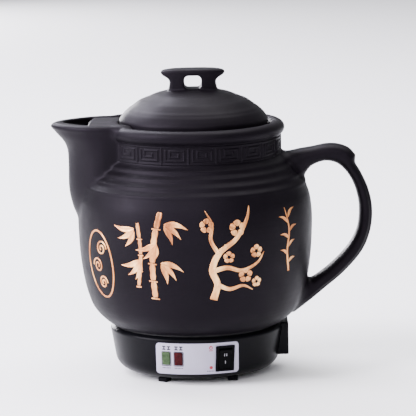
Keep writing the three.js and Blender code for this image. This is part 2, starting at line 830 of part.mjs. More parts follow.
function sealRing() {
  const bottom = ledgeTopHeight + seatGap;
  const top = potUndersideHeight - seatGap;
  const inner = ledgeInnerRadius + seatGap;
  const outer = lipInnerRadius - seatGap;
  return revolve([[inner, bottom], [outer, bottom], [outer, top], [inner, top], [inner, bottom]]);
}

// Silver plate bent round the wall, cut out for the windows and the switch
function controlPanel() {
  const inner = (height) => shellRadiusAt(height) + seatGap / Math.cos(shellTaper);
  const outer = (height) => shellRadiusAt(height) + panelFace / Math.cos(shellTaper);
  const low = panelBottomHeight - overrun;
  const high = panelTopHeight + overrun;
  const band = toSolid(revolve([
    [inner(low), low], [outer(low), low], [outer(high), high], [inner(high), high], [inner(low), low],
  ], 2 * roundSides));
  const height = panelTopHeight - panelBottomHeight;
  const outline = roundedRectangle(2 * panelHalfWidth, height, panelCorner);
  const front = prismAlongY(outline, shellShoulderRadius + overrun, 6);
  front.translate(0, -(shellShoulderRadius + overrun) / 2, panelBottomHeight + height / 2);
  let panel = band.intersect(toSolid(front));
  windowCutters().forEach((cutter) => {
    panel = panel.subtract(cutter);
  });
  return toGeometry(panel.subtract(switchCutter()));
}

function indicatorWindow() {
  const shape = roundedRectangle(windowWidth, windowHeight, windowProud);
  return prism(shape, windowBack, panelFace + windowProud, 2);
}

function lamp() {
  return post(0, 0, lampRadius, lampBoardFace + seatGap, windowBack - seatGap);
}

function lampBoard() {
  const low = [-lampBoardWidth / 2, -lampBoardHeight / 2, lampBoardFace - circuitBoardThickness];
  return block(low, [lampBoardWidth / 2, lampBoardHeight / 2, lampBoardFace]);
}

// Rocker switch: the housing is a tray with a bezel, the rocker tips on two pins in its side walls
const wellWidth = switchBodyWidth - 2 * switchWall;
const wellHeight = switchBodyHeight - 2 * switchWall;
const rockerWidth = wellWidth - 2 * rockerSidePlay;
const rockerHeight = wellHeight - 2 * rockerEndPlay;
const wellFloor = -rockerPivotDepth - rockerKeelDepth - rockerEndPlay;

function switchHousing() {
  const bezelShape = roundedRectangle(bezelWidth, bezelHeight, switchWall);
  let housing = toSolid(prism(bezelShape, bezelBack, bezelFace, 3));
  const bodyLow = [-switchBodyWidth / 2, -switchBodyHeight / 2, -switchBodyDepth];
  const bodyHigh = [switchBodyWidth / 2, switchBodyHeight / 2, bezelFace - bezelThickness / 2];
  housing = housing.add(toSolid(block(bodyLow, bodyHigh)));
  const wellLow = [-wellWidth / 2, -wellHeight / 2, wellFloor];
  housing = housing.subtract(toSolid(block(wellLow, [wellWidth / 2, wellHeight / 2, bezelFace + overrun])));
  const holeRadius = rockerPinRadius + seatGap;
  const pinHole = crossRod(-switchBodyWidth, switchBodyWidth, 0, -rockerPivotDepth, holeRadius);
  return toGeometry(housing.subtract(toSolid(pinHole)));
}

function rocker() {
  const halfHeight = rockerHeight / 2;
  const crest = bezelFace + rockerProud;
  const shape = new THREE.Shape();
  shape.moveTo(-halfHeight, crest);
  shape.quadraticCurveTo(0, crest - 2 * rockerDish, halfHeight, crest);
  shape.lineTo(halfHeight, crest - rockerProud - rockerSkirt);
  shape.lineTo(rockerKeelWidth / 2, -rockerPivotDepth - rockerKeelDepth);
  shape.lineTo(-rockerKeelWidth / 2, -rockerPivotDepth - rockerKeelDepth);
  shape.lineTo(-halfHeight, crest - rockerProud - rockerSkirt);
  const paddle = prism(shape, -rockerWidth / 2, rockerWidth / 2, 5);
  paddle.applyMatrix4(new THREE.Matrix4().makeBasis(
    new THREE.Vector3(0, 1, 0), new THREE.Vector3(0, 0, 1), new THREE.Vector3(1, 0, 0),
  ));
  const pinReach = switchBodyWidth / 2 - seatGap;
  const pin = crossRod(-pinReach, pinReach, 0, -rockerPivotDepth, rockerPinRadius);
  return toGeometry(toSolid(paddle).add(toSolid(pin)));
}

function switchTerminal(offset) {
  const back = -switchBodyDepth - seatGap;
  const low = [-terminalWidth / 2, offset - terminalThickness / 2, back - terminalReach];
  return block(low, [terminalWidth / 2, offset + terminalThickness / 2, back]);
}

// Mains inlet: a surround outside the wall and a socket body that passes through it
const inletPins = [
  { name: 'inlet_pin_line', y: -inletPinPitch, z: inletCentreHeight },
  { name: 'inlet_pin_neutral', y: inletPinPitch, z: inletCentreHeight },
  { name: 'inlet_pin_earth', y: 0, z: inletCentreHeight + inletEarthRise },
];
const inletPinBack = inletBodyBack - inletPinTail;

function inletPinBlock({ y, z }, grow, back, front) {
  const halfThickness = inletPinThickness / 2 + grow;
  const halfHeight = inletPinHeight / 2 + grow;
  return block([back, y - halfThickness, z - halfHeight], [front, y + halfThickness, z + halfHeight]);
}

function inletHousing() {
  const wall = toSolid(revolve([
    [0, shellBottomHeight], ...shellOutside(seatGap), [0, shellTopHeight + seatGap],
  ]));
  const aboveWall = [lipOuterRadius + seatGap, inletSurroundHalfWidth, inletSurroundTop + overrun];
  const surround = toSolid(block(
    [inletBodyBack, -inletSurroundHalfWidth, inletSurroundBottom],
    [inletFace, inletSurroundHalfWidth, inletSurroundTop],
  )).subtract(wall).subtract(toSolid(block([0, -inletSurroundHalfWidth, shellTopHeight], aboveWall)));
  const body = toSolid(block(
    [inletBodyBack, -inletBodyHalfWidth, inletCentreHeight - inletBodyHeight / 2],
    [inletFace - seatGap, inletBodyHalfWidth, inletCentreHeight + inletBodyHeight / 2],
  ));
  const recessShape = new THREE.Shape();
  const right = inletRecessHalfWidth;
  const top = inletRecessHeight / 2;
  recessShape.moveTo(-right, -top);
  recessShape.lineTo(right, -top);
  recessShape.lineTo(right, top - inletRecessCorner);
  recessShape.lineTo(right - inletRecessCorner, top);
  recessShape.lineTo(-right + inletRecessCorner, top);
  recessShape.lineTo(-right, top - inletRecessCorner);
  const recess = prism(recessShape, inletFace - inletRecessDepth, inletFace + overrun);
  recess.applyMatrix4(new THREE.Matrix4().makeBasis(
    new THREE.Vector3(0, 1, 0), new THREE.Vector3(0, 0, 1), new THREE.Vector3(1, 0, 0),
  ));
  let housing = surround.add(body).subtract(toSolid(recess.translate(0, 0, inletCentreHeight)));
  inletPins.forEach((pin) => {
    housing = housing.subtract(toSolid(inletPinBlock(pin, seatGap, inletBodyBack - overrun, inletFace)));
  });
  return toGeometry(housing);
}

// Bottom cover with standoffs for the control board
const standoffPlaces = [[-1, -1], [1, -1], [1, 1], [-1, 1]].map(([xSide, ySide]) => [
  xSide * (boardLength / 2 - standoffInset),
  ySide * (boardDepth / 2 - standoffInset),
]);

function bottomCover() {
  let cover = toSolid(post(0, 0, coverRadius, shellBottomHeight, coverTopHeight, roundSides));
  standoffPlaces.forEach(([x, y]) => {
    const standoffTop = coverTopHeight + standoffHeight;
    cover = cover.add(toSolid(post(x, y, standoffRadius, shellBottomHeight, standoffTop)));
  });
  coverScrewPlaces.forEach(([x, y]) => {
    cover = cover.subtract(screwHole(x, y, 0, coverTopHeight + overrun));
  });
  return toGeometry(cover);
}

// Screw with its head down and its shank up, head face at the given height
function screw(x, y, seatHeight) {
  return revolve([
    [0, seatHeight - screwHeadHeight],
    [screwHeadRadius, seatHeight - screwHeadHeight],
    [screwHeadRadius, seatHeight],
    [screwShankRadius, seatHeight],
    [screwShankRadius, seatHeight + screwLength],
    [0, seatHeight + screwLength],
  ], smallSides).translate(x, y, 0);
}

const footTop = shellBottomHeight - seatGap;

function foot() {
  return block([-footSize / 2, -footSize / 2, 0], [footSize / 2, footSize / 2, footTop]);
}

// Heater plate and its horseshoe element, whose two legs turn down
function heaterPlate() {
  return post(0, 0, heaterRadius, heaterUndersideHeight, heaterTopHeight, roundSides);
}

const elementHeight = heaterUndersideHeight - seatGap - elementTubeRadius;
const elementEndAngles = [
  quarterTurn - elementGapAngle / 2,
  quarterTurn + elementGapAngle / 2 - fullTurn,
];
const elementLegPlaces = elementEndAngles.map((angle) => (
  new THREE.Vector3(elementCircleRadius * Math.cos(angle), elementCircleRadius * Math.sin(angle), 0)
));
const elementLegBottom = elementHeight - elementBendRadius - elementLegLength;

// Quarter bend from a leg into the horseshoe; the way round is 1 or -1
function elementBend(angle, wayRound) {
  const bendShares = [0, 0.5, 1];
  return bendShares.map((share) => {
    const turn = quarterTurn * share;
    const round = angle + wayRound * elementBendRadius * (1 - Math.cos(turn)) / elementCircleRadius;
    const height = elementHeight - elementBendRadius * (1 - Math.sin(turn));
    const x = elementCircleRadius * Math.cos(round);
    return new THREE.Vector3(x, elementCircleRadius * Math.sin(round), height);
  });
}

function heatingElement() {
  const [start, end] = elementEndAngles;
  const bend = elementBendRadius / elementCircleRadius;
  const steps = 12;
  const points = [elementLegPlaces[0].clone().setZ(elementLegBottom), ...elementBend(start, -1)];
  for (let i = 1; i < steps; i += 1) {
    const angle = THREE.MathUtils.lerp(start - bend, end + bend, i / steps);
    const x = elementCircleRadius * Math.cos(angle);
    const y = elementCircleRadius * Math.sin(angle);
    points.push(new THREE.Vector3(x, y, elementHeight));
  }
  points.push(...elementBend(end, 1).reverse(), elementLegPlaces[1].clone().setZ(elementLegBottom));
  return sweep(new THREE.CatmullRomCurve3(points, false, 'centripetal'), elementTubeRadius, 40, 8);
}

class Helix extends THREE.Curve {
  getPoint(share, target = new THREE.Vector3()) {
    const angle = fullTurn * springTurns * share;
    const bottom = clampTopHeight + seatGap + springWireRadius;
    const top = heaterUndersideHeight - seatGap - springWireRadius;
    const height = THREE.MathUtils.lerp(bottom, top, share);
    return target.set(springRadius * Math.cos(angle), springRadius * Math.sin(angle), height);
  }
}

function clampSpring() {
  return sweep(new Helix(), springWireRadius, 10 * springTurns, 5);
}

// Flat bar under the heater, along the diagonal, screwed to the two posts of the shell
const clampUndersideHeight = clampTopHeight - clampThickness;

function clampBar() {
  const halfLength = clampPostCircleRadius + clampEndMargin;
  const low = [-halfLength, -clampWidth / 2, clampUndersideHeight];
  let bar = toSolid(block(low, [halfLength, clampWidth / 2, clampTopHeight]).rotateZ(quarterTurn / 2));
  const inside = shellRadiusAt(clampUndersideHeight) - shellWall - 2 * seatGap;
  bar = bar.intersect(toSolid(post(0, 0, inside, clampUndersideHeight, clampTopHeight, roundSides)));
  clampScrewPlaces.forEach(([x, y]) => {
    bar = bar.subtract(screwHole(x, y, clampUndersideHeight - overrun, clampTopHeight + overrun));
  });
  return toGeometry(bar);
}

// Along the diagonal bar and square to it, for what is carried beside the spring
const acrossClamp = new THREE.Vector3(-Math.SQRT1_2, Math.SQRT1_2, 0);
const thermostatPlace = acrossClamp.clone().multiplyScalar(thermostatOffset);
const thermostatTop = heaterUndersideHeight - seatGap;
const thermostatBottom = thermostatTop - thermostatHeight;

function thermostat() {
  return post(thermostatPlace.x, thermostatPlace.y, thermostatRadius, thermostatBottom, thermostatTop);
}

// Steel strip on the bar that carries the thermostat
function thermostatClip() {
  const top = thermostatBottom - seatGap;
  const foot = clampTopHeight + seatGap;
  const near = springRadius + springWireRadius + seatGap;
  const far = thermostatOffset + thermostatRadius / 2;
  const halfWidth = clipWidth / 2;
  const step = clampWidth / 2 - clipThickness;
  const strip = toSolid(block([-halfWidth, near, top - clipThickness], [halfWidth, far, top]));
  const leg = toSolid(block([-halfWidth, near, foot], [halfWidth, step, top]));
  return toGeometry(strip.add(leg)).rotateZ(quarterTurn / 2);
}

function thermalFuse() {
  const fuseHeight = heaterUndersideHeight - seatGap - fuseRadius;
  const body = crossRod(-fuseLength / 2, fuseLength / 2, -fuseOffset, fuseHeight, fuseRadius);
  return body.rotateZ(quarterTurn / 2);
}

// Control board with its relay and terminal block
function controlBoard() {
  return block(
    [-boardLength / 2, -boardDepth / 2, boardUndersideHeight],
    [boardLength / 2, boardDepth / 2, boardTopHeight],
  );
}

const partsOnBoard = boardTopHeight + seatGap;
const relayBack = -boardLength / 2 + standoffInset;
const blockFront = boardLength / 2 - blockInset;

function relay() {
  return block(
    [relayBack, -relayDepth / 2, partsOnBoard],
    [relayBack + relayLength, relayDepth / 2, partsOnBoard + relayHeight],
  );
}

function terminalBlock() {
  return block(
    [blockFront - blockLength, -blockDepth / 2, partsOnBoard],
    [blockFront, blockDepth / 2, partsOnBoard + blockHeight],
  );
}

// Wires run from terminal to terminal; way points are shares of the room inside the base
const wireRoom = elementCircleRadius;
const wireLevel = partsOnBoard + blockHeight / 2;
const roomPoint = (xShare, yShare, riseShare) => new THREE.Vector3(
  xShare * wireRoom, yShare * wireRoom, THREE.MathUtils.lerp(wireLevel, elementHeight, riseShare),
);
const wallPoint = (place, x, y, depth) => new THREE.Vector3(x, y, depth).applyMatrix4(place);
const terminalBack = -switchBodyDepth - 2 * seatGap - terminalReach;
const lampWireFace = lampBoardFace - circuitBoardThickness - seatGap;
const wireStub = 3 * wireRadius;

function pinStart({ y, z }) {
  return [
    new THREE.Vector3(inletPinBack - seatGap, y, z),
    new THREE.Vector3(inletPinBack - wireStub, y, z),
  ];
}

function switchEnd(offset) {
  return [
    wallPoint(switchPlace, 0, offset, terminalBack - wireStub),
    wallPoint(switchPlace, 0, offset, terminalBack),
  ];
}

function blockEnd(yShare) {
  const y = yShare * blockDepth / 2;
  return [
    new THREE.Vector3(blockFront + wireStub, y, wireLevel),
    new THREE.Vector3(blockFront + seatGap, y, wireLevel),
  ];
}

const [linePin, neutralPin, earthPin] = inletPins;
const legStart = (leg) => [
  leg.clone().setZ(elementLegBottom - seatGap),
  leg.clone().setZ(elementLegBottom - wireStub),
];
const thermostatWireOffset = thermostatOffset + thermostatRadius - wireRadius;
const thermostatWirePlace = acrossClamp.clone().multiplyScalar(thermostatWireOffset);

const wires = {
  wire_line: [...pinStart(linePin), roomPoint(1.1, -0.8, 0.3), ...switchEnd(0)],
  wire_neutral: [...pinStart(neutralPin), ...blockEnd(0.5)],
  wire_earth: [
    ...pinStart(earthPin),
    new THREE.Vector3(heaterRadius - 2 * wireStub, 0, heaterUndersideHeight - wireStub),
    new THREE.Vector3(heaterRadius - 2 * wireStub, 0, heaterUndersideHeight - seatGap),
  ],
  wire_high: [...switchEnd(terminalPitch).reverse(), roomPoint(0.9, -0.6, 0.5), ...blockEnd(-0.6)],
  wire_lamps: [
    ...switchEnd(-terminalPitch).reverse(),
    roomPoint(0.1, -1.25, 0.4),
    wallPoint(lampPlace, lampPostX / 2, 0, lampWireFace - wireStub),
    wallPoint(lampPlace, lampPostX / 2, 0, lampWireFace),
  ],
  wire_heater: [
    ...legStart(elementLegPlaces[0]),
    new THREE.Vector3(relayBack + relayLength / 2, relayDepth / 2 + wireStub, wireLevel),
    new THREE.Vector3(relayBack + relayLength / 2, relayDepth / 2 + seatGap, wireLevel),
  ],
  wire_thermostat: [
    ...legStart(elementLegPlaces[1]),
    thermostatWirePlace.clone().setZ(thermostatBottom - wireStub),
    thermostatWirePlace.clone().setZ(thermostatBottom - seatGap),
  ],
};

function wire(points) {
  return sweep(new THREE.CatmullRomCurve3(points, false, 'centripetal'), wireRadius, 12, 6);
}

// Finishes: colour, roughness and metalness
const finishes = {
  ceramic: ['#1b171b', 0.5, 0],
  basePlastic: ['#17161a', 0.38, 0],
  footRubber: ['#121214', 0.85, 0],
  silicone: ['#2a2a2c', 0.7, 0],
  panelPlate: ['#cfcdd6', 0.35, 0.2],
  greenWindow: ['#6f9a6a', 0.25, 0],
  redWindow: ['#7c1f2a', 0.25, 0],
  lampGlass: ['#d9b48a', 0.15, 0],
  switchPlastic: ['#101013', 0.3, 0],
  circuitBoard: ['#20603a', 0.6, 0],
  relayPlastic: ['#2b4f9a', 0.5, 0],
  terminalPlastic: ['#3d8c4a', 0.5, 0],
  aluminium: ['#b9bbbe', 0.45, 1],
  steel: ['#a9acb0', 0.35, 1],
  brass: ['#c6a15a', 0.35, 1],
  thermostatBody: ['#e6e1d6', 0.6, 0],
  wireSleeve: ['#b7322e', 0.55, 0],
  neutralSleeve: ['#2f55a6', 0.55, 0],
  earthSleeve: ['#5b9c3c', 0.55, 0],
};

const model = new THREE.Group();
model.position.x = axisShift;

function addPiece(name, geometry, finish, place = new THREE.Matrix4()) {
  const [color, roughness, metalness] = finishes[finish];
  const mesh = new THREE.Mesh(geometry, new THREE.MeshStandardMaterial({ color, roughness, metalness }));
  mesh.name = name;
  mesh.applyMatrix4(place);
  model.add(mesh);
}

addPiece('pot_vessel', potVessel(), 'ceramic');
addPiece('lid', lid(), 'ceramic');
addPiece('seal_ring', sealRing(), 'silicone');
addPiece('base_shell', baseShell(), 'basePlastic');
addPiece('bottom_cover', bottomCover(), 'basePlastic');

coverScrewPlaces.forEach(([x, y], i) => {
  addPiece(`cover_screw_${i + 1}`, screw(x, y, shellBottomHeight - seatGap), 'steel');
});

// Feet: direction round the axis from the front, and how each pad is turned
const feet = [
  { name: 'foot_front_left', azimuth: -31, turn: 60 },
  { name: 'foot_front_right', azimuth: 33, turn: 0 },
  { name: 'foot_back_right', azimuth: 147, turn: 0 },
  { name: 'foot_back_left', azimuth: 213, turn: 60 },
];
feet.forEach(({ name, azimuth, turn }) => {
  const angle = THREE.MathUtils.degToRad(azimuth);
  const place = new THREE.Matrix4().makeRotationZ(THREE.MathUtils.degToRad(turn));
  place.setPosition(footCircleRadius * Math.sin(angle), -footCircleRadius * Math.cos(angle), 0);
  addPiece(name, foot(), 'footRubber', place);
});

addPiece('control_panel', controlPanel(), 'panelPlate');
addPiece('keep_warm_window', indicatorWindow(), 'greenWindow', keepWarmPlace);
addPiece('boil_window', indicatorWindow(), 'redWindow', boilPlace);
addPiece('keep_warm_lamp', lamp(), 'lampGlass', keepWarmPlace);
addPiece('boil_lamp', lamp(), 'lampGlass', boilPlace);
addPiece('lamp_board', lampBoard(), 'circuitBoard', lampPlace);

addPiece('switch_housing', switchHousing(), 'switchPlastic', switchPlace);
addPiece('switch_rocker', rocker(), 'switchPlastic', switchPlace);
const switchTerminals = { common: 0, high: terminalPitch, low: -terminalPitch };
Object.entries(switchTerminals).forEach(([name, offset]) => {
  addPiece(`switch_terminal_${name}`, switchTerminal(offset), 'brass', switchPlace);
});

addPiece('inlet_housing', inletHousing(), 'basePlastic');
inletPins.forEach((pin) => {
  const front = inletFace - inletPinSetback;
  addPiece(pin.name, inletPinBlock(pin, 0, inletPinBack, front), 'brass');
});

addPiece('heater_plate', heaterPlate(), 'aluminium');
addPiece('heating_element', heatingElement(), 'steel');
addPiece('clamp_bar', clampBar(), 'steel');
clampScrewPlaces.forEach(([x, y], i) => {
  addPiece(`clamp_screw_${i + 1}`, screw(x, y, clampUndersideHeight - seatGap), 'steel');
});
addPiece('clamp_spring', clampSpring(), 'steel');
addPiece('thermostat', thermostat(), 'thermostatBody');
addPiece('thermostat_clip', thermostatClip(), 'steel');
addPiece('thermal_fuse', thermalFuse(), 'thermostatBody');
addPiece('control_board', controlBoard(), 'circuitBoard');
addPiece('relay', relay(), 'relayPlastic');
addPiece('terminal_block', terminalBlock(), 'terminalPlastic');

const wireFinishes = { wire_neutral: 'neutralSleeve', wire_earth: 'earthSleeve' };
Object.entries(wires).forEach(([name, points]) => {
  addPiece(name, wire(points), wireFinishes[name] ?? 'wireSleeve');
});

export default model;
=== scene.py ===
# %% [markdown]
# An electric stoneware pot for simmering herbs
#
# The pot stands on the CAD model's own frame: every piece made here lies exactly where the CAD
# solids say, in metres, with +Z up, the spout to -X and the control panel to -Y.
# The frame is loaded first.

# %% Load the frame
import json
import math

import bmesh
import bpy
import numpy as np
from mathutils import Matrix, Vector


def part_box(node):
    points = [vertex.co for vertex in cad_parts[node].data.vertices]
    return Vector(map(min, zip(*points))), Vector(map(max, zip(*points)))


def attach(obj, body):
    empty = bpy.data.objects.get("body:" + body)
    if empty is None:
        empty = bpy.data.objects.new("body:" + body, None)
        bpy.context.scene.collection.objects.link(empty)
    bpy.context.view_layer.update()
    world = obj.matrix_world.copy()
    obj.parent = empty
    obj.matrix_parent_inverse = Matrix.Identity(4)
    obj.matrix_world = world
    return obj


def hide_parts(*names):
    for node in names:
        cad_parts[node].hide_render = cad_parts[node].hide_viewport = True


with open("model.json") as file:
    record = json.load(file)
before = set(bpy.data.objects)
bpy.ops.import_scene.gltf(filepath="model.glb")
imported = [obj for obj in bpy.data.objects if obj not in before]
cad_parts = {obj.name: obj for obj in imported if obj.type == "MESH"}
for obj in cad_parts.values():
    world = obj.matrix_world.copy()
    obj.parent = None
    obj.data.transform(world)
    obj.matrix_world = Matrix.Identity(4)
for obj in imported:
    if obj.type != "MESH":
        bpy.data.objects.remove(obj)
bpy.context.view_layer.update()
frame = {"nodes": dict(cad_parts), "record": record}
millimetre = 0.001
seal_low, seal_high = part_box("seal_ring")
pot_axis = (seal_low.x + seal_high.x) / 2


def put_in_scene(name, data):
    """An object of the scene for a mesh, a lamp, a curve or a camera."""
    thing = bpy.data.objects.new(name, data)
    bpy.context.scene.collection.objects.link(thing)
    return thing


# %% [markdown]
# The camera stands where the photographer stood: 2.4 m away, looking down by nine degrees with a long
# lens, and rolled by one degree. It could be matched by eye, but here the angle, lens and roll come
# from the width of the belly, the tilt of the rim's ellipse and the lean of the pot's axis.

# %% Camera
camera_distance = 2.4
camera_pitch = math.radians(9.2)
camera_roll = math.radians(1.0)
camera_lens = 264.0
aim_height = 0.129
aim_beside_axis = 0.0102

camera_data = bpy.data.cameras.new("camera")
camera_data.lens = camera_lens
camera_data.clip_end = 40.0
camera = put_in_scene("camera", camera_data)
aim = Vector((pot_axis + aim_beside_axis, 0, aim_height))
backward = Vector((0, -math.cos(camera_pitch), math.sin(camera_pitch)))
camera.location = aim + camera_distance * backward
turn = (-backward).to_track_quat("-Z", "Y").to_matrix() @ Matrix.Rotation(-camera_roll, 3, "Z")
camera.rotation_euler = turn.to_euler()
bpy.context.scene.camera = camera
print("camera at", [round(value, 3) for value in camera.location])

# %% [markdown]
# Small helpers that every piece uses. One turns lists of points and faces into an object with smooth
# shading, moved from the pot's own axis into the frame. Another says which CAD body the piece rides on,
# which nodes it stands for and which finish it takes.

# %% Making and placing pieces
def set_smooth(mesh, smooth=True):
    mesh.polygons.foreach_set("use_smooth", np.full(len(mesh.polygons), smooth))


def make_piece(name, points, faces, smooth=True):
    """A mesh object from points in millimetres about the pot's axis."""
    mesh = bpy.data.meshes.new(name)
    place = np.asarray(points, float) * millimetre + np.array([pot_axis, 0, 0])
    faces = np.asarray(faces, np.int32)
    corners = faces.shape[1]
    mesh.vertices.add(len(place))
    mesh.vertices.foreach_set("co", place.astype(np.float32).ravel())
    mesh.loops.add(faces.size)
    mesh.loops.foreach_set("vertex_index", faces.ravel())
    mesh.polygons.add(len(faces))
    mesh.polygons.foreach_set("loop_start", np.arange(0, faces.size, corners, dtype=np.int32))
    mesh.update(calc_edges=True)
    mesh.validate()
    set_smooth(mesh, smooth)
    return put_in_scene(name, mesh)


def settle(piece, body, finish_slot, material, *nodes):
    """Rides the piece on its body, hides the CAD nodes it stands for and gives it its finish."""
    piece.data.materials.clear()
    piece.data.materials.append(material)
    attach(piece, body)
    if nodes:
        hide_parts(*nodes)
    print(piece.name, "rides on", body, "with", len(piece.data.vertices), "points")


# %% [markdown]
# The clay
#
# The body is dark brown-black stoneware with a satin skin: no glaze, but burnished enough to give a
# soft grey-violet sheen where the window light grazes it. A photograph could be projected on it, but a
# procedural finish works from every side. The colour drifts a little with a large noise, the
# roughness with a finer one, and the bump joins fine grain to the faint rings of the throwing wheel.

# %% Shader helpers
def new_material(name, **values):
    """A node material and its main shader, with plain values set on the shader's own sockets."""
    material = bpy.data.materials.new(name)
    material.use_nodes = True
    shader = material.node_tree.nodes["Principled BSDF"]
    for socket, value in values.items():
        shader.inputs[socket.replace("_", " ")].default_value = value
    return material, material.node_tree, shader


def noise(tree, per_metre, detail=3.0, stretch=(1, 1, 1)):
    """Noise in object space; stretch squeezes it along an axis."""
    place = tree.nodes.new("ShaderNodeTexCoord")
    mapping = tree.nodes.new("ShaderNodeMapping")
    mapping.inputs["Scale"].default_value = stretch
    texture = tree.nodes.new("ShaderNodeTexNoise")
    texture.inputs["Scale"].default_value = per_metre
    texture.inputs["Detail"].default_value = detail
    tree.links.new(place.outputs["Object"], mapping.inputs["Vector"])
    tree.links.new(mapping.outputs["Vector"], texture.inputs["Vector"])
    return texture.outputs["Fac"]


def ramp(tree, value, *stops):
    """Colour ramp from (position, colour) stops."""
    node = tree.nodes.new("ShaderNodeValToRGB")
    elements = node.color_ramp.elements
    while len(elements) < len(stops):
        elements.new(0.5)
    for element, (position, colour) in zip(elements, stops):
        element.position = position
        element.color = (*colour, 1)
    tree.links.new(value, node.inputs["Fac"])
    return node.outputs["Color"]


def spread(tree, value, low, high):
    """A value remapped from 0.3..0.7, where noise mostly lies, to low..high."""
    node = tree.nodes.new("ShaderNodeMapRange")
    node.inputs["From Min"].default_value = 0.3
    node.inputs["From Max"].default_value = 0.7
    node.inputs["To Min"].default_value = low
    node.inputs["To Max"].default_value = high
    tree.links.new(value, node.inputs["Value"])
    return node.outputs["Result"]


def inside_box(tree, low, high, edge):
    """One inside a box of object space and nought outside, with a soft edge on every side."""
    place = tree.nodes.new("ShaderNodeTexCoord")
    split = tree.nodes.new("ShaderNodeSeparateXYZ")
    tree.links.new(place.outputs["Object"], split.inputs["Vector"])
    share = None
    for axis, start, stop in zip("XYZ", low, high):
        for limit, inward in ((start, 1), (stop, -1)):
            step = tree.nodes.new("ShaderNodeMapRange")
            step.inputs["From Min"].default_value = limit
            step.inputs["From Max"].default_value = limit + inward * edge
            tree.links.new(split.outputs[axis], step.inputs["Value"])
            if share is None:
                share = step.outputs["Result"]
                continue
            both = tree.nodes.new("ShaderNodeMath")
            both.operation = "MULTIPLY"
            tree.links.new(share, both.inputs[0])
            tree.links.new(step.outputs["Result"], both.inputs[1])
            share = both.outputs["Value"]
    return share


def bump(tree, shader, height, distance, strength=1.0, below=None):
    """Bump on the shader; below is the normal of another bump under it."""
    node = tree.nodes.new("ShaderNodeBump")
    node.inputs["Distance"].default_value = distance
    node.inputs["Strength"].default_value = strength
    tree.links.new(height, node.inputs["Height"])
    if below is not None:
        tree.links.new(below, node.inputs["Normal"])
    tree.links.new(node.outputs["Normal"], shader.inputs["Normal"])
    return node.outputs["Normal"]


def mottled_finish(name, stops, mottle, satin, satin_noise, grain=None, **values):
    """A finish whose colour, roughness and grain each follow a noise of their own.

    mottle and satin_noise hold what noise takes, satin the roughness at both ends, and grain the depth
    and strength of a bump, then the noise that drives it.
    """
    material, tree, shader = new_material(name, **values)
    tree.links.new(ramp(tree, noise(tree, *mottle), *stops), shader.inputs["Base Color"])
    tree.links.new(spread(tree, noise(tree, *satin_noise), *satin), shader.inputs["Roughness"])
    if grain:
        depth, strength, *grain_noise = grain
        bump(tree, shader, noise(tree, *grain_noise), depth, strength)
    return material


# %% [markdown]
# The flat bridge behind the spout catches a bright reflection of the light behind the pot. So one box of
# the pot is painted paler, a painted reflection, and is also made smoother than the rest. A second material
# would leave a hard line across the clay, so the box fades out over a few millimetres inside the one
# material.

# %% Stoneware
bridge_start, bridge_stop, bridge_side = 0.0585, 0.083, 0.029
bridge_patch_low, bridge_patch_high, bridge_fade = 0.1978, 0.2005, 0.003
bridge_low = (pot_axis - bridge_stop, -bridge_side, bridge_patch_low)
bridge_high = (pot_axis - bridge_start, bridge_side, bridge_patch_high)
# The last of these colours is a painted reflection: paler clay standing for the bright light the bridge
# mirrors.
dark_clay, light_clay, painted_reflection_clay = (0.0017, 0.0012, 0.0019), (0.0031, 0.0023, 0.0036), (0.034, 0.03, 0.039)
smoothest_clay, roughest_clay, patch_roughness_change = 0.44, 0.54, -0.25


def stoneware():
    """Dark satin clay with the potter's rings, with a painted reflection and less roughness on the bridge."""
    material, tree, shader = new_material(
        "stoneware", Specular_IOR_Level=0.062, IOR=1.5, Specular_Tint=(0.95, 0.85, 1.0, 1),
    )
    drift = noise(tree, 14.0, 4.0)
    colour = ramp(tree, drift, (0.3, dark_clay), (0.7, light_clay))
    # The box on the bridge where the painted reflection lightens the clay and the roughness drops.
    reflection_and_gloss_patch = inside_box(tree, bridge_low, bridge_high, bridge_fade)
    tone = tree.nodes.new("ShaderNodeMix")
    tone.data_type = "RGBA"
    tone.inputs["B"].default_value = (*painted_reflection_clay, 1)
    tree.links.new(reflection_and_gloss_patch, tone.inputs["Factor"])
    tree.links.new(colour, tone.inputs["A"])
    tree.links.new(tone.outputs["Result"], shader.inputs["Base Color"])
    satin = spread(tree, noise(tree, 60.0, 5.0), smoothest_clay, roughest_clay)
    gloss = tree.nodes.new("ShaderNodeMath")
    gloss.operation = "MULTIPLY_ADD"
    gloss.inputs[1].default_value = patch_roughness_change
    tree.links.new(reflection_and_gloss_patch, gloss.inputs[0])
    tree.links.new(satin, gloss.inputs[2])
    tree.links.new(gloss.outputs["Value"], shader.inputs["Roughness"])
    rings = noise(tree, 1.0, 2.0, stretch=(6, 6, 420))
    under = bump(tree, shader, rings, 0.0002, 0.5)
    bump(tree, shader, noise(tree, 1500.0, 2.0), 0.00006, 0.5, below=under)
    return material


clay = stoneware()
print("finish:", clay.name)

# %% [markdown]
# The vessel's form
#
# On the real pot the belly is thrown or jiggered, the spout and the handle are cast, and all three are
# luted together with slip, so their joints are soft and a faint raised line stays where they meet.
# Three crossing meshes would show hard creases. So the form is written as a distance in space, below
# nought inside the clay, and a skin is drawn where it is nought. Two distances join through a smooth
# minimum, which leaves the fillet that a wet sponge leaves.

# %% Distances that join softly
def smooth_min(a, b, softness):
    """The lesser of two distances, eased over the softness where they are near each other."""
    share = np.clip(0.5 + 0.5 * (b - a) / softness, 0, 1)
    return b + (a - b) * share - softness * share * (1 - share)


def smooth_max(a, b, softness):
    return -smooth_min(-a, -b, softness)


line_steps = 12


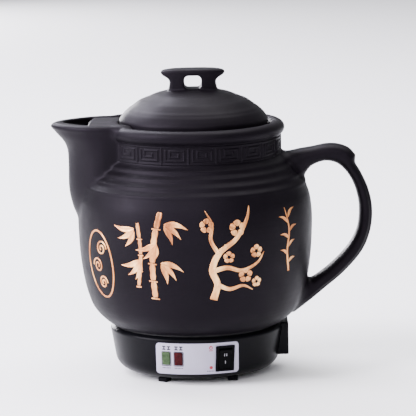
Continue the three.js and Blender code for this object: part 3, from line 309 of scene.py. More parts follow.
def smooth_line(points, steps=line_steps):
    """A Catmull-Rom line through the points, with even steps between them."""
    points = np.asarray(points, float)
    ahead = 2 * points[:1] - points[1:2]
    behind = 2 * points[-1:] - points[-2:-1]
    knots = np.concatenate([ahead, points, behind])
    share = np.linspace(0, 1, steps, endpoint=False)[:, None]
    pieces = []
    for p0, p1, p2, p3 in zip(knots[:-3], knots[1:-2], knots[2:-1], knots[3:]):
        cubic = -p0 + 3 * p1 - 3 * p2 + p3
        square = 2 * p0 - 5 * p1 + 4 * p2 - p3
        pieces.append(0.5 * (2 * p1 + (p2 - p0) * share + square * share**2 + cubic * share**3))
    return np.concatenate([*pieces, points[-1:]])


def read_table(values, low, step, a, b):
    """Values of a square grid, read between its points."""
    u = np.clip((a - low[0]) / step, 0, values.shape[0] - 1.001)
    v = np.clip((b - low[1]) / step, 0, values.shape[1] - 1.001)
    i, j = u.astype(int), v.astype(int)
    u, v = u - i, v - j
    near = values[i, j] * (1 - v) + values[i, j + 1] * v
    far = values[i + 1, j] * (1 - v) + values[i + 1, j + 1] * v
    return near * (1 - u) + far * u


class DistanceTable:
    """Signed distance to a closed outline, negative inside, kept on a fine square grid."""

    def __init__(self, outline, low, high, step=0.5):
        self.low, self.step = low, step
        first = np.arange(low[0], high[0] + step, step)
        second = np.arange(low[1], high[1] + step, step)
        a, b = np.meshgrid(first, second, indexing="ij")
        nearest = np.full(a.shape, np.inf)
        inside = np.zeros(a.shape, bool)
        for (a0, b0), (a1, b1) in zip(outline, np.roll(outline, -1, axis=0)):
            run = np.array([a1 - a0, b1 - b0])
            length = run @ run
            if length == 0:
                continue
            share = np.clip(((a - a0) * run[0] + (b - b0) * run[1]) / length, 0, 1)
            gap = (a - a0 - share * run[0]) ** 2 + (b - b0 - share * run[1]) ** 2
            nearest = np.minimum(nearest, gap)
            if b0 != b1:
                crosses = ((b0 > b) != (b1 > b)) & (a < a0 + (b - b0) * run[0] / run[1])
                inside ^= crosses
        self.values = np.where(inside, -1, 1) * np.sqrt(nearest)

    def __call__(self, a, b):
        return read_table(self.values, self.low, self.step, a, b)


# %% [markdown]
# The belly's outline rises from a narrow seam over the plastic base, is widest half way up, and turns
# in to a straight neck. Four soft ridges run round the shoulder, left by the potter's fingers. They are
# part of the outline, so they catch light and show in the silhouette.

# %% Outline of the belly, shoulder and neck
seam_radius, seam_height = 66.8, 40.1
belly_radius, belly_height = 92.0, 119.0
shoulder_radius, shoulder_height = 86.6, 149.6
neck_radius, neck_foot = 67.8, 172.0
rim_radius, rim_width, rim_top, rim_depth = 71.2, 12.0, 198.6, 11.2
wall, neck_flare = 6.5, 0.4
past_axis, outline_count = -20, 420
table_low, table_high = (-2, 28), (150, 206)
lower_shares = [
    (0, 0), (0.18, 0.037), (0.37, 0.093), (0.51, 0.147), (0.65, 0.23),
    (0.79, 0.375), (0.89, 0.54), (0.965, 0.75), (1, 1),
]
upper_shares = [(0.06, 0.34), (0.28, 0.64), (0.62, 0.84), (1, 1)]
ridge_heights = [151.0, 157.0, 162.9, 168.3]
ridge_rise, ridge_spread = 1.15, 1.7


def belly_points(start_radius, start_height, inset):
    """Outline from the belly's foot to the shoulder, moved inward by the inset."""
    widest = belly_radius - inset
    low_run, low_rise = widest - start_radius, belly_height - start_height
    high_run, high_rise = shoulder_radius - belly_radius, shoulder_height - belly_height
    low = [(start_radius + low_run * out, start_height + low_rise * up) for out, up in lower_shares]
    return low + [(widest + high_run * out, belly_height + high_rise * up) for out, up in upper_shares]


shoulder_points = [(79.6, 158.3), (72.6, 166.6), (neck_radius + neck_flare, neck_foot)]
outside_line = smooth_line(belly_points(seam_radius, seam_height, 0) + shoulder_points)
outside_heights = np.linspace(seam_height, neck_foot, outline_count)
outside_radii = np.interp(outside_heights, outside_line[:, 1], outside_line[:, 0])
for ridge_height in ridge_heights:
    outside_radii += ridge_rise * np.exp(-((outside_heights - ridge_height) / ridge_spread) ** 2)


def belly_surface(height):
    """Radius of the clay's outer face at a height."""
    return np.interp(height, outside_heights, outside_radii)


foot_ring_outer, foot_ring_inner, foot_ring_bottom = 59.7, 53.7, 33.7
rim_middle = rim_top - rim_depth / 2
outside_outline = np.array([
    (past_axis, seam_height), (foot_ring_inner, seam_height), (foot_ring_inner, foot_ring_bottom),
    (foot_ring_outer, foot_ring_bottom), (foot_ring_outer, seam_height),
    *zip(outside_radii, outside_heights),
    (neck_radius, neck_foot + 1), (neck_radius, rim_middle), (past_axis, rim_middle),
])
outside_table = DistanceTable(outside_outline, table_low, table_high)
print("belly, shoulder and neck:", len(outside_outline), "points in the outline")

# %% [markdown]
# The rim is a fat roll of clay with a gallery cut inside it, where the lid lies. The hollow follows the
# belly at the wall's thickness, so the pot is as heavy as a real one and reads right with the lid off.

# %% Rim and hollow
gallery_radius, gallery_height = 59.1, 191.7
ledge_radius, ledge_foot, slope_foot = 54.0, 188.2, 183.2
floor_radius, floor_height = 57.0, 47.1
open_above = 12
above = rim_top + open_above
hollow_table_high = (150, 216)
hollow_shoulder = [(73.5, 158.3), (neck_radius - wall, 170.5)]
hollow_line = smooth_line(belly_points(floor_radius, floor_height, wall) + hollow_shoulder)
hollow_outline = np.array([
    (past_axis, floor_height), *hollow_line,
    (neck_radius - wall, slope_foot), (ledge_radius, ledge_foot), (ledge_radius, gallery_height),
    (gallery_radius, gallery_height), (gallery_radius, above), (past_axis, above),
])
hollow_table = DistanceTable(hollow_outline, table_low, hollow_table_high)


def rim_distance(radius, height):
    """Distance to the oval roll of the rim."""
    across = (radius - rim_radius + rim_width / 2) / (rim_width / 2)
    up = (height - rim_top + rim_depth / 2) / (rim_depth / 2)
    return (np.sqrt(across**2 + up**2) - 1) * rim_depth / 2


print("hollow:", len(hollow_outline), "points in the outline")

# %% [markdown]
# The spout is a deep pointed trough, wide where it meets the pot and drawn out to a round nose. Seen
# from above its plan is the same at every height, only longer at the lip, so one table of the plan
# serves, stretched to the nose at each level. The lip is rolled outward into a bead.

# %% Spout
spout_root, spout_half_width = 60.0, 35.0
spout_foot, spout_top = 119.0, 199.5
spout_body_reach, spout_reach = 98.6, 110.2
plan_reach, plan_low, plan_high = 100.0, (-10, -60), (180, 60)
plan_shares = [
    (0, 1), (0.16, 0.99), (0.3, 0.96), (0.46, 0.88), (0.61, 0.745),
    (0.76, 0.57), (0.87, 0.405), (0.95, 0.235), (0.99, 0.09), (1, 0),
]
nose_shares = [
    (0, -0.95), (0.09, -0.5), (0.2, -0.2), (0.36, 0), (0.6, 0), (0.71, 0.03),
    (0.77, 0.13), (0.82, 0.32), (0.86, 0.56), (0.9, 0.8), (0.935, 0.94), (0.965, 1.0), (1, 1.0),
]
side_run = plan_reach - spout_root
side_line = [(spout_root + along * side_run, spout_half_width * out) for along, out in plan_shares]
mirrored = [(along, -out) for along, out in side_line[:-1]]
plan_line = smooth_line(side_line + mirrored[::-1], steps=8)
plan_outline = np.concatenate([[(0, -spout_half_width)], [(0, spout_half_width)], plan_line])
plan_table = DistanceTable(plan_outline, plan_low, plan_high)
spout_rise, lip_overhang = spout_top - spout_foot, spout_reach - spout_body_reach
nose_line = smooth_line([
    (spout_foot + up * spout_rise, spout_body_reach + out * lip_overhang)
    for up, out in nose_shares
])


def spout_plan(x, y, z):
    """Distance to the spout's outer wall, level by level."""
    nose = np.interp(z, nose_line[:, 0], nose_line[:, 1])
    stretch = side_run / (nose - spout_root)
    along = -x - spout_root
    return plan_table(spout_root + np.where(along > 0, along * stretch, along), y)


spout_lip_roll, spout_edge, spout_foot_edge = 3.3, 3.2, 1.0
lip_bead_rise, lip_bead_spread = 1.3, 2.5


def spout_distance(x, y, z):
    """Distance to the solid spout, with the bead along its lip."""
    bead = lip_bead_rise * np.exp(-((z - spout_top + spout_lip_roll) / lip_bead_spread) ** 2)
    trough = spout_plan(x, y, z) - bead
    shell = smooth_max(trough, z - spout_top, spout_edge)
    return smooth_max(shell, spout_foot - z, spout_foot_edge)


spout_wall_foot, spout_wall_lip = 5.6, 6.4
bridge_reach, bridge_top, bridge_underside = 82.0, 198.6, 193.6
bridge_bow, bridge_skew, bridge_edge, channel_edge = 2.5, 2.0, 1.2, 0.8


def spout_channel_distance(x, y, z, belly):
    """The room inside the spout, under and in front of the flat bridge behind it."""
    lip_share = np.clip((z - shoulder_height) / (spout_top - shoulder_height), 0, 1) ** 2
    thickness = spout_wall_foot + (spout_wall_lip - spout_wall_foot) * lip_share
    room = np.maximum(spout_plan(x, y, z) + thickness, -belly)
    across = y / spout_half_width
    edge = -bridge_reach + bridge_bow * across**2 + bridge_skew * across
    bridge = smooth_max(edge - x, np.maximum(bridge_underside - z, z - bridge_top), bridge_edge)
    return smooth_max(room, -bridge, channel_edge)


print("spout plan:", len(plan_outline), "points; nose runs from",
      round(nose_line[0, 1], 1), "to", round(nose_line[-1, 1], 1), "mm")

# %% [markdown]
# The ear handle leaves the neck level, turns down over a thumb rest with a small corner, and comes back
# into the belly low down. Its outer edge and the step from there to its inner edge are given station by
# station, and the two smooth lines close into its side view. Across, it has a squarish section with a
# shallow groove along the outer side of the lower half.

# %% Handle
handle_reach, handle_top, handle_foot = 139.7, 180.8, 46.0
handle_thickness, handle_half_width = 11.0, 11.0
handle_shares = [
    (-0.081, 0.938, 0.00, -2.05), (0.072, 0.945, 0.55, -2.22), (0.211, 0.959, 0.24, -1.91),
    (0.350, 0.970, -0.09, -1.38), (0.503, 0.985, -0.23, -1.23), (0.636, 0.981, -0.38, -1.26),
    (0.747, 0.957, -0.61, -1.25), (0.818, 0.917, -0.76, -1.07), (0.816, 0.870, -0.54, -0.78),
    (0.879, 0.810, -0.65, -0.56), (0.954, 0.717, -0.84, -0.27), (0.994, 0.608, -0.94, -0.05),
    (0.975, 0.482, -0.97, 0.09), (0.883, 0.358, -1.06, 0.30), (0.691, 0.237, -1.01, 0.51),
    (0.476, 0.140, -0.91, 0.72), (0.260, 0.047, -1.00, 0.93), (0.128, 0.004, -1.00, 1.04),
]
corner_station = 7
handle_low, handle_high, handle_outline_step = (50.0, 28.0), (150.0, 206.0), 0.4
outer_edge = [
    (neck_radius + out * (handle_reach - neck_radius), handle_foot + up * (handle_top - handle_foot))
    for out, up, _, _ in handle_shares
]
inner_edge = [
    (x + handle_thickness * across, z + handle_thickness * rise)
    for (x, z), (_, _, across, rise) in zip(outer_edge, handle_shares)
]


def cornered_line(edge):
    """A smooth line with one corner, at the thumb rest."""
    before = smooth_line(edge[:corner_station + 1])
    after = smooth_line(edge[corner_station:])
    return np.concatenate([before, after[1:]])


outer_line, inner_line = cornered_line(outer_edge), cornered_line(inner_edge)
closed_line = np.concatenate([outer_line, inner_line[::-1]])
handle_outline = DistanceTable(closed_line, handle_low, handle_high, handle_outline_step)
section_power, thickness_blur = 2.6, 8
groove_depth, groove_width, groove_share, groove_flat = 0.6, 1.0, 0.62, 0.8
groove_stations = (9, 16)


class HandleTable:
    """For each place in the side view: half the handle's thickness there, and how far along it is."""

    def __init__(self, low, high, step=0.5):
        self.low, self.step = low, step
        first = np.arange(low[0], high[0], step)
        second = np.arange(low[1], high[1], step)
        x, z = np.meshgrid(first, second, indexing="ij")
        middle = (outer_line + inner_line) / 2
        half = np.linalg.norm(outer_line - inner_line, axis=1) / 2
        window = 2 * thickness_blur + 1
        half = np.convolve(np.pad(half, thickness_blur, "edge"), np.full(window, 1 / window), "valid")
        gap = np.hypot(x[..., None] - middle[:, 0], z[..., None] - middle[:, 1])
        nearest = gap.argmin(-1)
        outward = outer_line - inner_line
        outward /= np.linalg.norm(outward, axis=1)[:, None]
        side = (x - middle[nearest, 0]) * outward[nearest, 0] + (z - middle[nearest, 1]) * outward[nearest, 1]
        self.tables = [half[nearest], nearest / line_steps, side / half[nearest]]

    def __call__(self, x, z):
        return [read_table(table, self.low, self.step, x, z) for table in self.tables]


handle_table = HandleTable(handle_low, handle_high)


def handle_distance(x, y, z):
    """Distance to the handle, roughly even all round its squarish section."""
    half, station, side = handle_table(x, z)
    across = np.maximum(1 + handle_outline(x, z) / half, 0)
    flat = np.abs(y) / handle_half_width
    ratio = (across**section_power + flat**section_power) ** (1 / section_power)
    surface = (ratio - 1) * np.minimum(half, handle_half_width)
    start, stop = groove_stations
    stretch = np.clip(station - start, 0, 1) * np.clip(stop - station, 0, 1)
    groove = np.exp(-(((side - groove_share) * half / groove_width) ** 2))
    groove = groove * np.clip(2 * flat - groove_flat, 0, 1)
    return surface + groove_depth * groove * stretch


print("handle outline:", len(outer_line) + len(inner_line), "points")

# %% [markdown]
# Now the whole vessel is one function. Outside is the smooth join of belly, rim, spout and handle,
# with the luting line added along the joint of spout and belly. The hollow, the spout's channel and
# the strainer holes between them are taken away.

# %% The vessel as one distance
joint_softness, lip_softness, lip_foot, root_softness = 0.8, 5.0, 184.0, 6.0
rim_softness, opening_edge = 1.5, 0.9
luting_rise, luting_width = 0.55, 1.0
strainer_holes = [(0, 152.5), (-11, 152.5), (11, 152.5), (-5.5, 163.5), (5.5, 163.5)]
strainer_radius, strainer_reach = 3.2, 86.9


def vessel_distance(x, y, z):
    """Distance to the whole vessel, negative inside the clay."""
    radius = np.hypot(x, y)
    belly = smooth_min(outside_table(radius, z), rim_distance(radius, z), rim_softness)
    spout = spout_distance(x, y, z)
    near_lip = np.clip((z - lip_foot) / (spout_top - lip_foot), 0, 1)
    outside = smooth_min(belly, spout, joint_softness + (lip_softness - joint_softness) * near_lip)
    outside = outside - luting_rise * np.exp(-(belly**2 + spout**2) / (2 * luting_width**2))
    outside = smooth_min(outside, handle_distance(x, y, z), root_softness)
    removed = hollow_table(radius, z)
    removed = np.minimum(removed, spout_channel_distance(x, y, z, belly))
    for hole_y, hole_z in strainer_holes:
        bore = np.hypot(y - hole_y, z - hole_z) - strainer_radius
        bore = np.maximum(bore, np.maximum(x + spout_root, -x - strainer_reach))
        removed = np.minimum(removed, bore)
    return smooth_max(outside, -removed, opening_edge)


print("wall at the belly:", round(float(belly_radius - wall), 1), "mm inside radius")

# %% [markdown]
# The skin is drawn with surface nets. Space is cut into small cubes, each cube that the surface
# crosses gets one point, and points of neighbouring cubes join into four-sided faces. Then each point
# slides along the slope of the distance until it lies on the surface, so ridges finer than a cube
# come out clean. Remeshing a joined mesh would also work, but it rounds off the ridges.

# %% Surface nets
def grid_values(field, axes):
    """The field on a grid, one slice of x at a time."""
    y, z = np.meshgrid(axes[1], axes[2], indexing="ij")
    return np.stack([field(np.full(y.shape, x), y, z) for x in axes[0]]).astype(np.float32)


def surface_nets(field, low, high, cell):
    """Points and faces of the surface between two corners of space."""
    axes = [np.arange(a, b + cell, cell) for a, b in zip(low, high)]
    values = grid_values(field, axes)
    inside = values < 0
    cells = tuple(size - 1 for size in values.shape)
    corners = [(i, j, k) for i in (0, 1) for j in (0, 1) for k in (0, 1)]
    window = [inside[tuple(slice(o, o + n) for o, n in zip(corner, cells))] for corner in corners]
    active = np.any(window, axis=0) & ~np.all(window, axis=0)
    where = np.argwhere(active)
    number = np.full(cells, -1, np.int64)
    number[active] = np.arange(len(where))
    total = np.zeros((len(where), 3))
    count = np.zeros(len(where))
    for axis in range(3):
        others = [i for i in range(3) if i != axis]
        for step_b in (0, 1):
            for step_c in (0, 1):
                start = where.copy()
                start[:, others[0]] += step_b
                start[:, others[1]] += step_c
                end = start.copy()
                end[:, axis] += 1
                v0, v1 = values[tuple(start.T)], values[tuple(end.T)]
                crossed = (v0 < 0) != (v1 < 0)
                share = np.where(crossed, v0 / np.where(crossed, v0 - v1, 1), 0)
                spot = start.astype(float)
                spot[:, axis] += share
                total += spot * crossed[:, None]
                count += crossed
    points = np.asarray(low) + cell * total / count[:, None]
    return points, net_faces(inside, number)


def net_faces(inside, number):
    """One face round every grid edge that the surface crosses."""
    faces = []
    for axis in range(3):
        b, c = [(axis + 1) % 3, (axis + 2) % 3]
        here = np.moveaxis(inside, (axis, b, c), (0, 1, 2))
        cell = np.moveaxis(number, (axis, b, c), (0, 1, 2))
        crossed = (here[:-1] != here[1:])[:, 1:-1, 1:-1]
        i, j, k = np.nonzero(crossed)
        leaving = here[:-1][:, 1:-1, 1:-1][i, j, k]
        ring = np.stack([cell[i, j, k], cell[i, j + 1, k], cell[i, j + 1, k + 1], cell[i, j, k + 1]], axis=1)
        faces.append(np.where(leaving[:, None], ring, ring[:, ::-1]))
    return np.concatenate(faces)


def slope(field, points, step=0.05):
    """The field and its gradient at the points."""
    x, y, z = points.T
    value = field(x, y, z)
    rise = [
        field(x + step * a, y + step * b, z + step * c) - field(x - step * a, y - step * b, z - step * c)
        for a, b, c in np.eye(3)
    ]
    return value, np.stack(rise, axis=1) / (2 * step)


gentlest_slope, longest_slide_share, nearly_nought = 0.05, 0.7, 1e-9


def draw_skin(field, low, high, cell, rounds=3):
    """Points and faces of the surface, evened out and slid onto it."""
    points, faces = surface_nets(field, low, high, cell)
    pairs = np.concatenate([faces[:, [i, (i + 1) % 4]] for i in range(4)])
    pairs = np.concatenate([pairs, pairs[:, ::-1]])
    degree = np.bincount(pairs[:, 0], minlength=len(points))[:, None]
    for _ in range(rounds):
        mean = np.stack([
            np.bincount(pairs[:, 0], weights=points[pairs[:, 1], axis], minlength=len(points))
            for axis in range(3)
        ], axis=1) / degree
        points = points + 0.5 * (mean - points)
        for _ in range(2):
            value, gradient = slope(field, points)
            length = np.maximum((gradient**2).sum(1), gentlest_slope)
            move = (value / length)[:, None] * gradient
            far = np.maximum(np.linalg.norm(move, axis=1, keepdims=True), nearly_nought)
            points = points - move * np.minimum(1, longest_slide_share * cell / far)
    return points, faces


# %% [markdown]
# The vessel is drawn with cubes of little more than a millimetre.

# %% Draw the vessel
vessel_cell = 1.15
vessel_low, vessel_high = (-116, -95, 30), (143, 95, 202)
vessel_points, vessel_faces = draw_skin(vessel_distance, vessel_low, vessel_high, vessel_cell)
vessel = make_piece("vessel", vessel_points, vessel_faces)
settle(vessel, "pot", "ceramic", clay, "pot_vessel")
print("vessel spans", np.round(vessel_points.min(0), 1), "to", np.round(vessel_points.max(0), 1), "mm")

# %% [markdown]
# The lid
#
# The lid is a thrown dome with a skirt that drops into the rim, and its knob is a bridge: a flat oval
# plate on two legs with a finger gap between them. It is drawn in the same way as the vessel, with
# finer cubes, because the knob is slender. Five soft rings on the dome are left by the potter's fingers.

# %% Lid
lid_radius, lid_side, lid_crown = 58.2, 200.4, 224.5
lid_wall, lid_bottom = 5.5, 192.0
skirt_radius, skirt_inner, skirt_bottom = 52.5, 48.0, 184.2
skirt_roof, below_skirt = 198.0, 9
lid_table_box, lid_table_step = ((-2, 170), (75, 250)), 0.25
dome_shares = [
    (1.0, 0.0), (0.99, 0.05), (0.96, 0.15), (0.905, 0.29), (0.84, 0.43),
    (0.7, 0.635), (0.52, 0.815), (0.34, 0.93), (0.16, 0.985), (0, 1),
]
lid_rise = lid_crown - lid_side
dome_line = smooth_line([(lid_radius * out, lid_side + lid_rise * up) for out, up in dome_shares])
throwing_rings = [
    (54.0, 0.28, 1.7), (48.5, -0.3, 2.0), (42.5, 0.26, 2.2), (35.5, -0.16, 2.4), (29.0, 0.14, 2.6),
]
for ring_radius, ring_rise, ring_spread in throwing_rings:
    dome_line[:, 1] += ring_rise * np.exp(-((dome_line[:, 0] - ring_radius) / ring_spread) ** 2)
lid_outline = np.array([
    (past_axis, lid_crown), (past_axis, skirt_bottom), (skirt_radius, skirt_bottom),
    (skirt_radius, lid_bottom), (lid_radius, lid_bottom), *dome_line,
])
under_line = smooth_line([
    ((lid_radius - lid_wall) * out, lid_side - lid_wall + lid_rise * up)
    for out, up in dome_shares[4:]
])
under_bottom = skirt_bottom - below_skirt
under_outline = np.array([
    (past_axis, lid_crown - lid_wall), (past_axis, under_bottom), (skirt_inner, under_bottom),
    (skirt_inner, skirt_roof), *under_line,
])
lid_table = DistanceTable(lid_outline, *lid_table_box, lid_table_step)
under_table = DistanceTable(under_outline, *lid_table_box, lid_table_step)

knob_half_length, knob_half_depth, knob_top = 25.8, 11.0, 239.8
knob_plate, knob_waist, knob_foot = 6.6, 18.2, 19.0
knob_gap_half, knob_gap_roof, knob_gap_corner = 6.7, 4.9, 3.4
lid_edge, knob_edge, knob_joint, knob_sink, gap_edge = 1.0, 2.4, 1.8, 4, 1.6
oval_overhang = 0.3
oval_half_length = knob_half_length + oval_overhang
plate_underside = knob_top - knob_plate
leg_shape = [
    (knob_foot, 0.6, lid_crown, -4.0), (knob_foot, 0, lid_crown, -0.5), (knob_waist, 0, lid_crown, 3.5),
    (knob_waist, 0.2, plate_underside, -2.2), (knob_waist, 2.0, plate_underside, -0.3),
    (knob_half_length, -1.9, plate_underside, 1.5), (knob_half_length, -0.1, plate_underside, 3.2),
    (knob_half_length, -0.7, knob_top, -1.6), (knob_half_length, -3.0, knob_top, -0.7),
    (knob_waist, -3, knob_top, -0.2),
]
leg_line = smooth_line([(reach + out, level + up) for reach, out, level, up in leg_shape], steps=8)
knob_outline = np.concatenate([leg_line, leg_line[::-1] * [-1, 1]])
knob_table_box = ((-40, 210), (40, 250))
knob_table = DistanceTable(knob_outline, *knob_table_box, lid_table_step)


def lid_distance(x, y, z):
    """Distance to the lid: dome, skirt and knob, less the finger gap."""
    radius = np.hypot(x, y)
    dome = smooth_max(lid_table(radius, z), -under_table(radius, z), lid_edge)
    oval = (np.sqrt((x / oval_half_length) ** 2 + (y / knob_half_depth) ** 2) - 1) * knob_half_depth
    knob = smooth_max(knob_table(x, z), oval, knob_edge)
    knob = np.maximum(knob, lid_crown - knob_sink - z)
    whole = smooth_min(dome, knob, knob_joint)
    gap_top = knob_top - knob_gap_roof
    gap_half_height = (gap_top - lid_crown) / 2
    gap_x = np.abs(x) - knob_gap_half + knob_gap_corner
    gap_z = np.abs(z - gap_top + gap_half_height) - gap_half_height + knob_gap_corner
    corner = np.hypot(np.maximum(gap_x, 0), np.maximum(gap_z, 0))
    gap = corner + np.minimum(np.maximum(gap_x, gap_z), 0) - knob_gap_corner
    return smooth_max(whole, -gap, gap_edge)


lid_cell = 0.8
lid_low, lid_high = (-61, -61, 181), (61, 61, 243)
lid_points, lid_faces = draw_skin(lid_distance, lid_low, lid_high, lid_cell)
lid = make_piece("lid_dome", lid_points, lid_faces)
settle(lid, "lid", "ceramic", clay, "lid")
print("lid spans", np.round(lid_points.min(0), 1), "to", np.round(lid_points.max(0), 1), "mm")

# %% [markdown]
# The fret band
#
# A traditional fret of square spirals runs round the neck in low relief, pressed in with a roller
# before firing. A bump map would vanish in the outline, so the band is a real
# relief: a fine grid wrapped round the neck, lifted wherever it is near the fret's line.

# %% Fret relief
fret_repeats, fret_first_bar = 20, math.radians(-3.3)
fret_foot, fret_top = 173.4, 186.6
fret_tall = fret_top - fret_foot
fret_line_half, fret_rise, fret_edge = 0.62, 0.62, 0.3
fret_ground = 0.12
fret_cell = [
    [(0, 0), (1, 0)], [(0, 1), (1, 1)], [(0, 0), (0, 1)], [(1, 0), (1, 1)],
    [(0.16, 0.21), (0.84, 0.21)], [(0.84, 0.21), (0.84, 0.79)], [(0.84, 0.79), (0.32, 0.79)],
    [(0.32, 0.79), (0.32, 0.42)], [(0.32, 0.42), (0.64, 0.42)], [(0.64, 0.42), (0.64, 0.6)],
    [(0.16, 0.21), (0.16, 0.79)],
]
repeat_width = 2 * math.pi * neck_radius / fret_repeats


def fret_height(along, up):
    """Relief at a place along the band and up it, both in millimetres."""
    share = np.mod(along / repeat_width, 1.0)
    nearest = np.full(np.shape(along), np.inf)
    for (u0, v0), (u1, v1) in fret_cell:
        low_u, high_u = sorted((u0, u1))
        low_v, high_v = sorted((v0, v1))
        du = np.maximum(np.maximum(low_u - share, share - high_u), 0) * repeat_width
        dv = np.maximum(np.maximum(low_v - up / fret_tall, up / fret_tall - high_v), 0) * fret_tall
        nearest = np.minimum(nearest, np.maximum(du, dv))
    ease = np.clip((fret_line_half + fret_edge - nearest) / (2 * fret_edge), 0, 1)
    return fret_ground + fret_rise * ease * ease * (3 - 2 * ease)


def loft_piece(name, rings, looped=False, smooth=True):
    """A closed skin over rings of points, capped at both ends unless it loops."""
    rings = np.asarray(rings, float)
    count, size = rings.shape[:2]
    last = count if looped else count - 1
    faces = []
    for i in range(last):
        a, b = i * size, ((i + 1) % count) * size
        faces += [(a + j, a + (j + 1) % size, b + (j + 1) % size, b + j) for j in range(size)]
    if not looped:
        faces += [tuple(range(size))[::-1], tuple(range((count - 1) * size, count * size))]
    mesh = bpy.data.meshes.new(name)
    mesh.from_pydata((rings.reshape(-1, 3) * millimetre + [pot_axis, 0, 0]).tolist(), [], faces)
    tidy = bmesh.new()
    tidy.from_mesh(mesh)
    bmesh.ops.recalc_face_normals(tidy, faces=tidy.faces)
    tidy.to_mesh(mesh)
    tidy.free()
    set_smooth(mesh, smooth)
    return put_in_scene(name, mesh)


spout_half_angle = math.radians(29.0)
fret_step = 0.36
fret_start = -math.pi / 2 + spout_half_angle
fret_end = 3 * math.pi / 2 - spout_half_angle
fret_columns = int((fret_end - fret_start) * neck_radius / fret_step)
fret_azimuths = np.linspace(fret_start, fret_end, fret_columns)
fret_ups = np.linspace(-fret_line_half, fret_tall + fret_line_half, int(fret_tall / fret_step))
fret_rings = []
for azimuth in fret_azimuths:
    along = (azimuth - fret_first_bar) * neck_radius
    reach = neck_radius + fret_height(np.full(fret_ups.shape, along), fret_ups)
    reach = np.concatenate([[neck_radius - 1], reach, [neck_radius - 1]])
    ups = np.concatenate([[fret_ups[0]], fret_ups, [fret_ups[-1]]]) + fret_foot
    fret_rings.append(np.stack([reach * math.sin(azimuth), -reach * math.cos(azimuth), ups], axis=1))
fret_band = loft_piece("fret_band", fret_rings)
settle(fret_band, "pot", "ceramic", clay)
print(fret_repeats, "repeats of", round(repeat_width, 1), "mm")

# %% [markdown]
# The gold drawing
#
# Before firing, the potter cuts a drawing into the leather-hard clay, and gold lustre is brushed into
# the cuts. Here it is bamboo, a plum branch, an oval seal with scrolls and a sprig. Each stroke is
# a ribbon that follows the belly: its edges stand up a little, like the burr of a cut, and its
# middle is hollow, so it catches light as a filled groove does.

# %% Gold lustre
gold_tones = [(0.3, (0.34, 0.11, 0.035)), (0.5, (0.66, 0.28, 0.095)), (0.7, (0.92, 0.53, 0.22))]
gold = mottled_finish(
    "gold_lustre", gold_tones, mottle=(130.0, 4.0, (1, 1, 0.35)), satin=(0.3, 0.5), satin_noise=(300.0, 3.0),
    grain=(0.00008, 0.5, 900.0, 3.0),
    Metallic=0.85, Specular_IOR_Level=0.4, Coat_Weight=0.1, Coat_Roughness=0.2,
)
print("finish:", gold.name)

# %% [markdown]
# A brush opens as it is pressed and runs thin as it is lifted, so each stroke is given by a path and a
# width at every point of it. The ribbon's cross-section has a burr on either side, and thin strokes
# have a lower one. The belly's own outline gives the radius, so no stroke floats or sinks.

# %% Strokes
stroke_burr, stroke_hollow, stroke_depth = 0.34, 0.1, 0.8
narrowest_stroke, full_burr_half, stroke_bottom_share = 0.12, 0.7, 0.4
ribbon_shares = (-1, -1, -0.82, -0.55, 0, 0.55, 0.82, 1, 1)


def stroke_rings(path, widths, steps=10):
    """Rings of a ribbon on the belly along (along, height) places, with a width at each place."""
    line = smooth_line([(u, v, w) for (u, v), w in zip(path, widths)], steps)
    heading = np.gradient(line[:, :2], axis=0)
    heading /= np.maximum(np.linalg.norm(heading, axis=1), 1e-6)[:, None]
    side = np.stack([-heading[:, 1], heading[:, 0]], axis=1)
    across = np.array(ribbon_shares)
    bottom = stroke_hollow * stroke_bottom_share
    half_lift = [-stroke_depth, 0, stroke_burr, stroke_hollow]
    lift = np.array([*half_lift, bottom, *half_lift[::-1]])
    rings = []
    for (u, v, width), normal in zip(line, side):
        half = max(width, narrowest_stroke) / 2
        place_u = u + normal[0] * across * half
        place_v = v + normal[1] * across * half
        azimuth = place_u / belly_radius
        raised = np.where(lift > 0, lift * min(1, half / full_burr_half), lift)
        reach = belly_surface(place_v) + raised
        rings.append(np.stack([reach * np.sin(azimuth), -reach * np.cos(azimuth), place_v], axis=1))
    return rings


def drawing(name, strokes):
    """Joins strokes of one motif into one piece of gold."""
    parts = [loft_piece(f"{name}_{i}", stroke_rings(*stroke)) for i, stroke in enumerate(strokes)]
    settle(join_pieces(name, parts), "pot", "ceramic", gold)


def join_pieces(name, parts):
    """One object from several, without moving them."""
    joined = bmesh.new()
    for part in parts:
        part.data.transform(part.matrix_world)
        joined.from_mesh(part.data)
    mesh = bpy.data.meshes.new(name)
    joined.to_mesh(mesh)
    joined.free()
    for part in parts:
        bpy.data.meshes.remove(part.data)
    return put_in_scene(name, mesh)


# %% [markdown]
# The bamboo has two stems of short joints that swell at each node, and leaves that hang in threes. A
# leaf is one stroke that opens quickly and runs out to a point, as a loaded brush makes it.

# %% Bamboo
joint_gap, knot_half_share, knot_widths = 0.012, 0.72, [0.9, 1.2, 0.9]
leaf_length, leaf_width, leaf_shorter, leaf_bend = 19, 4.6, 2, 0.1


def leaf(u, v, angle, length, width, bend=0.12):
    """One leaf from its stalk outward; the angle is in degrees from straight right."""
    turn = math.radians(angle)
    along = np.array([math.cos(turn), math.sin(turn)])
    beside = np.array([-along[1], along[0]])
    shares = np.array([0, 0.12, 0.35, 0.6, 0.82, 1])
    path = [
        np.array([u, v]) + along * length * s + beside * length * bend * math.sin(math.pi * s)
        for s in shares
    ]
    return path, width * np.array([0.15, 0.62, 1, 0.78, 0.38, 0.04])


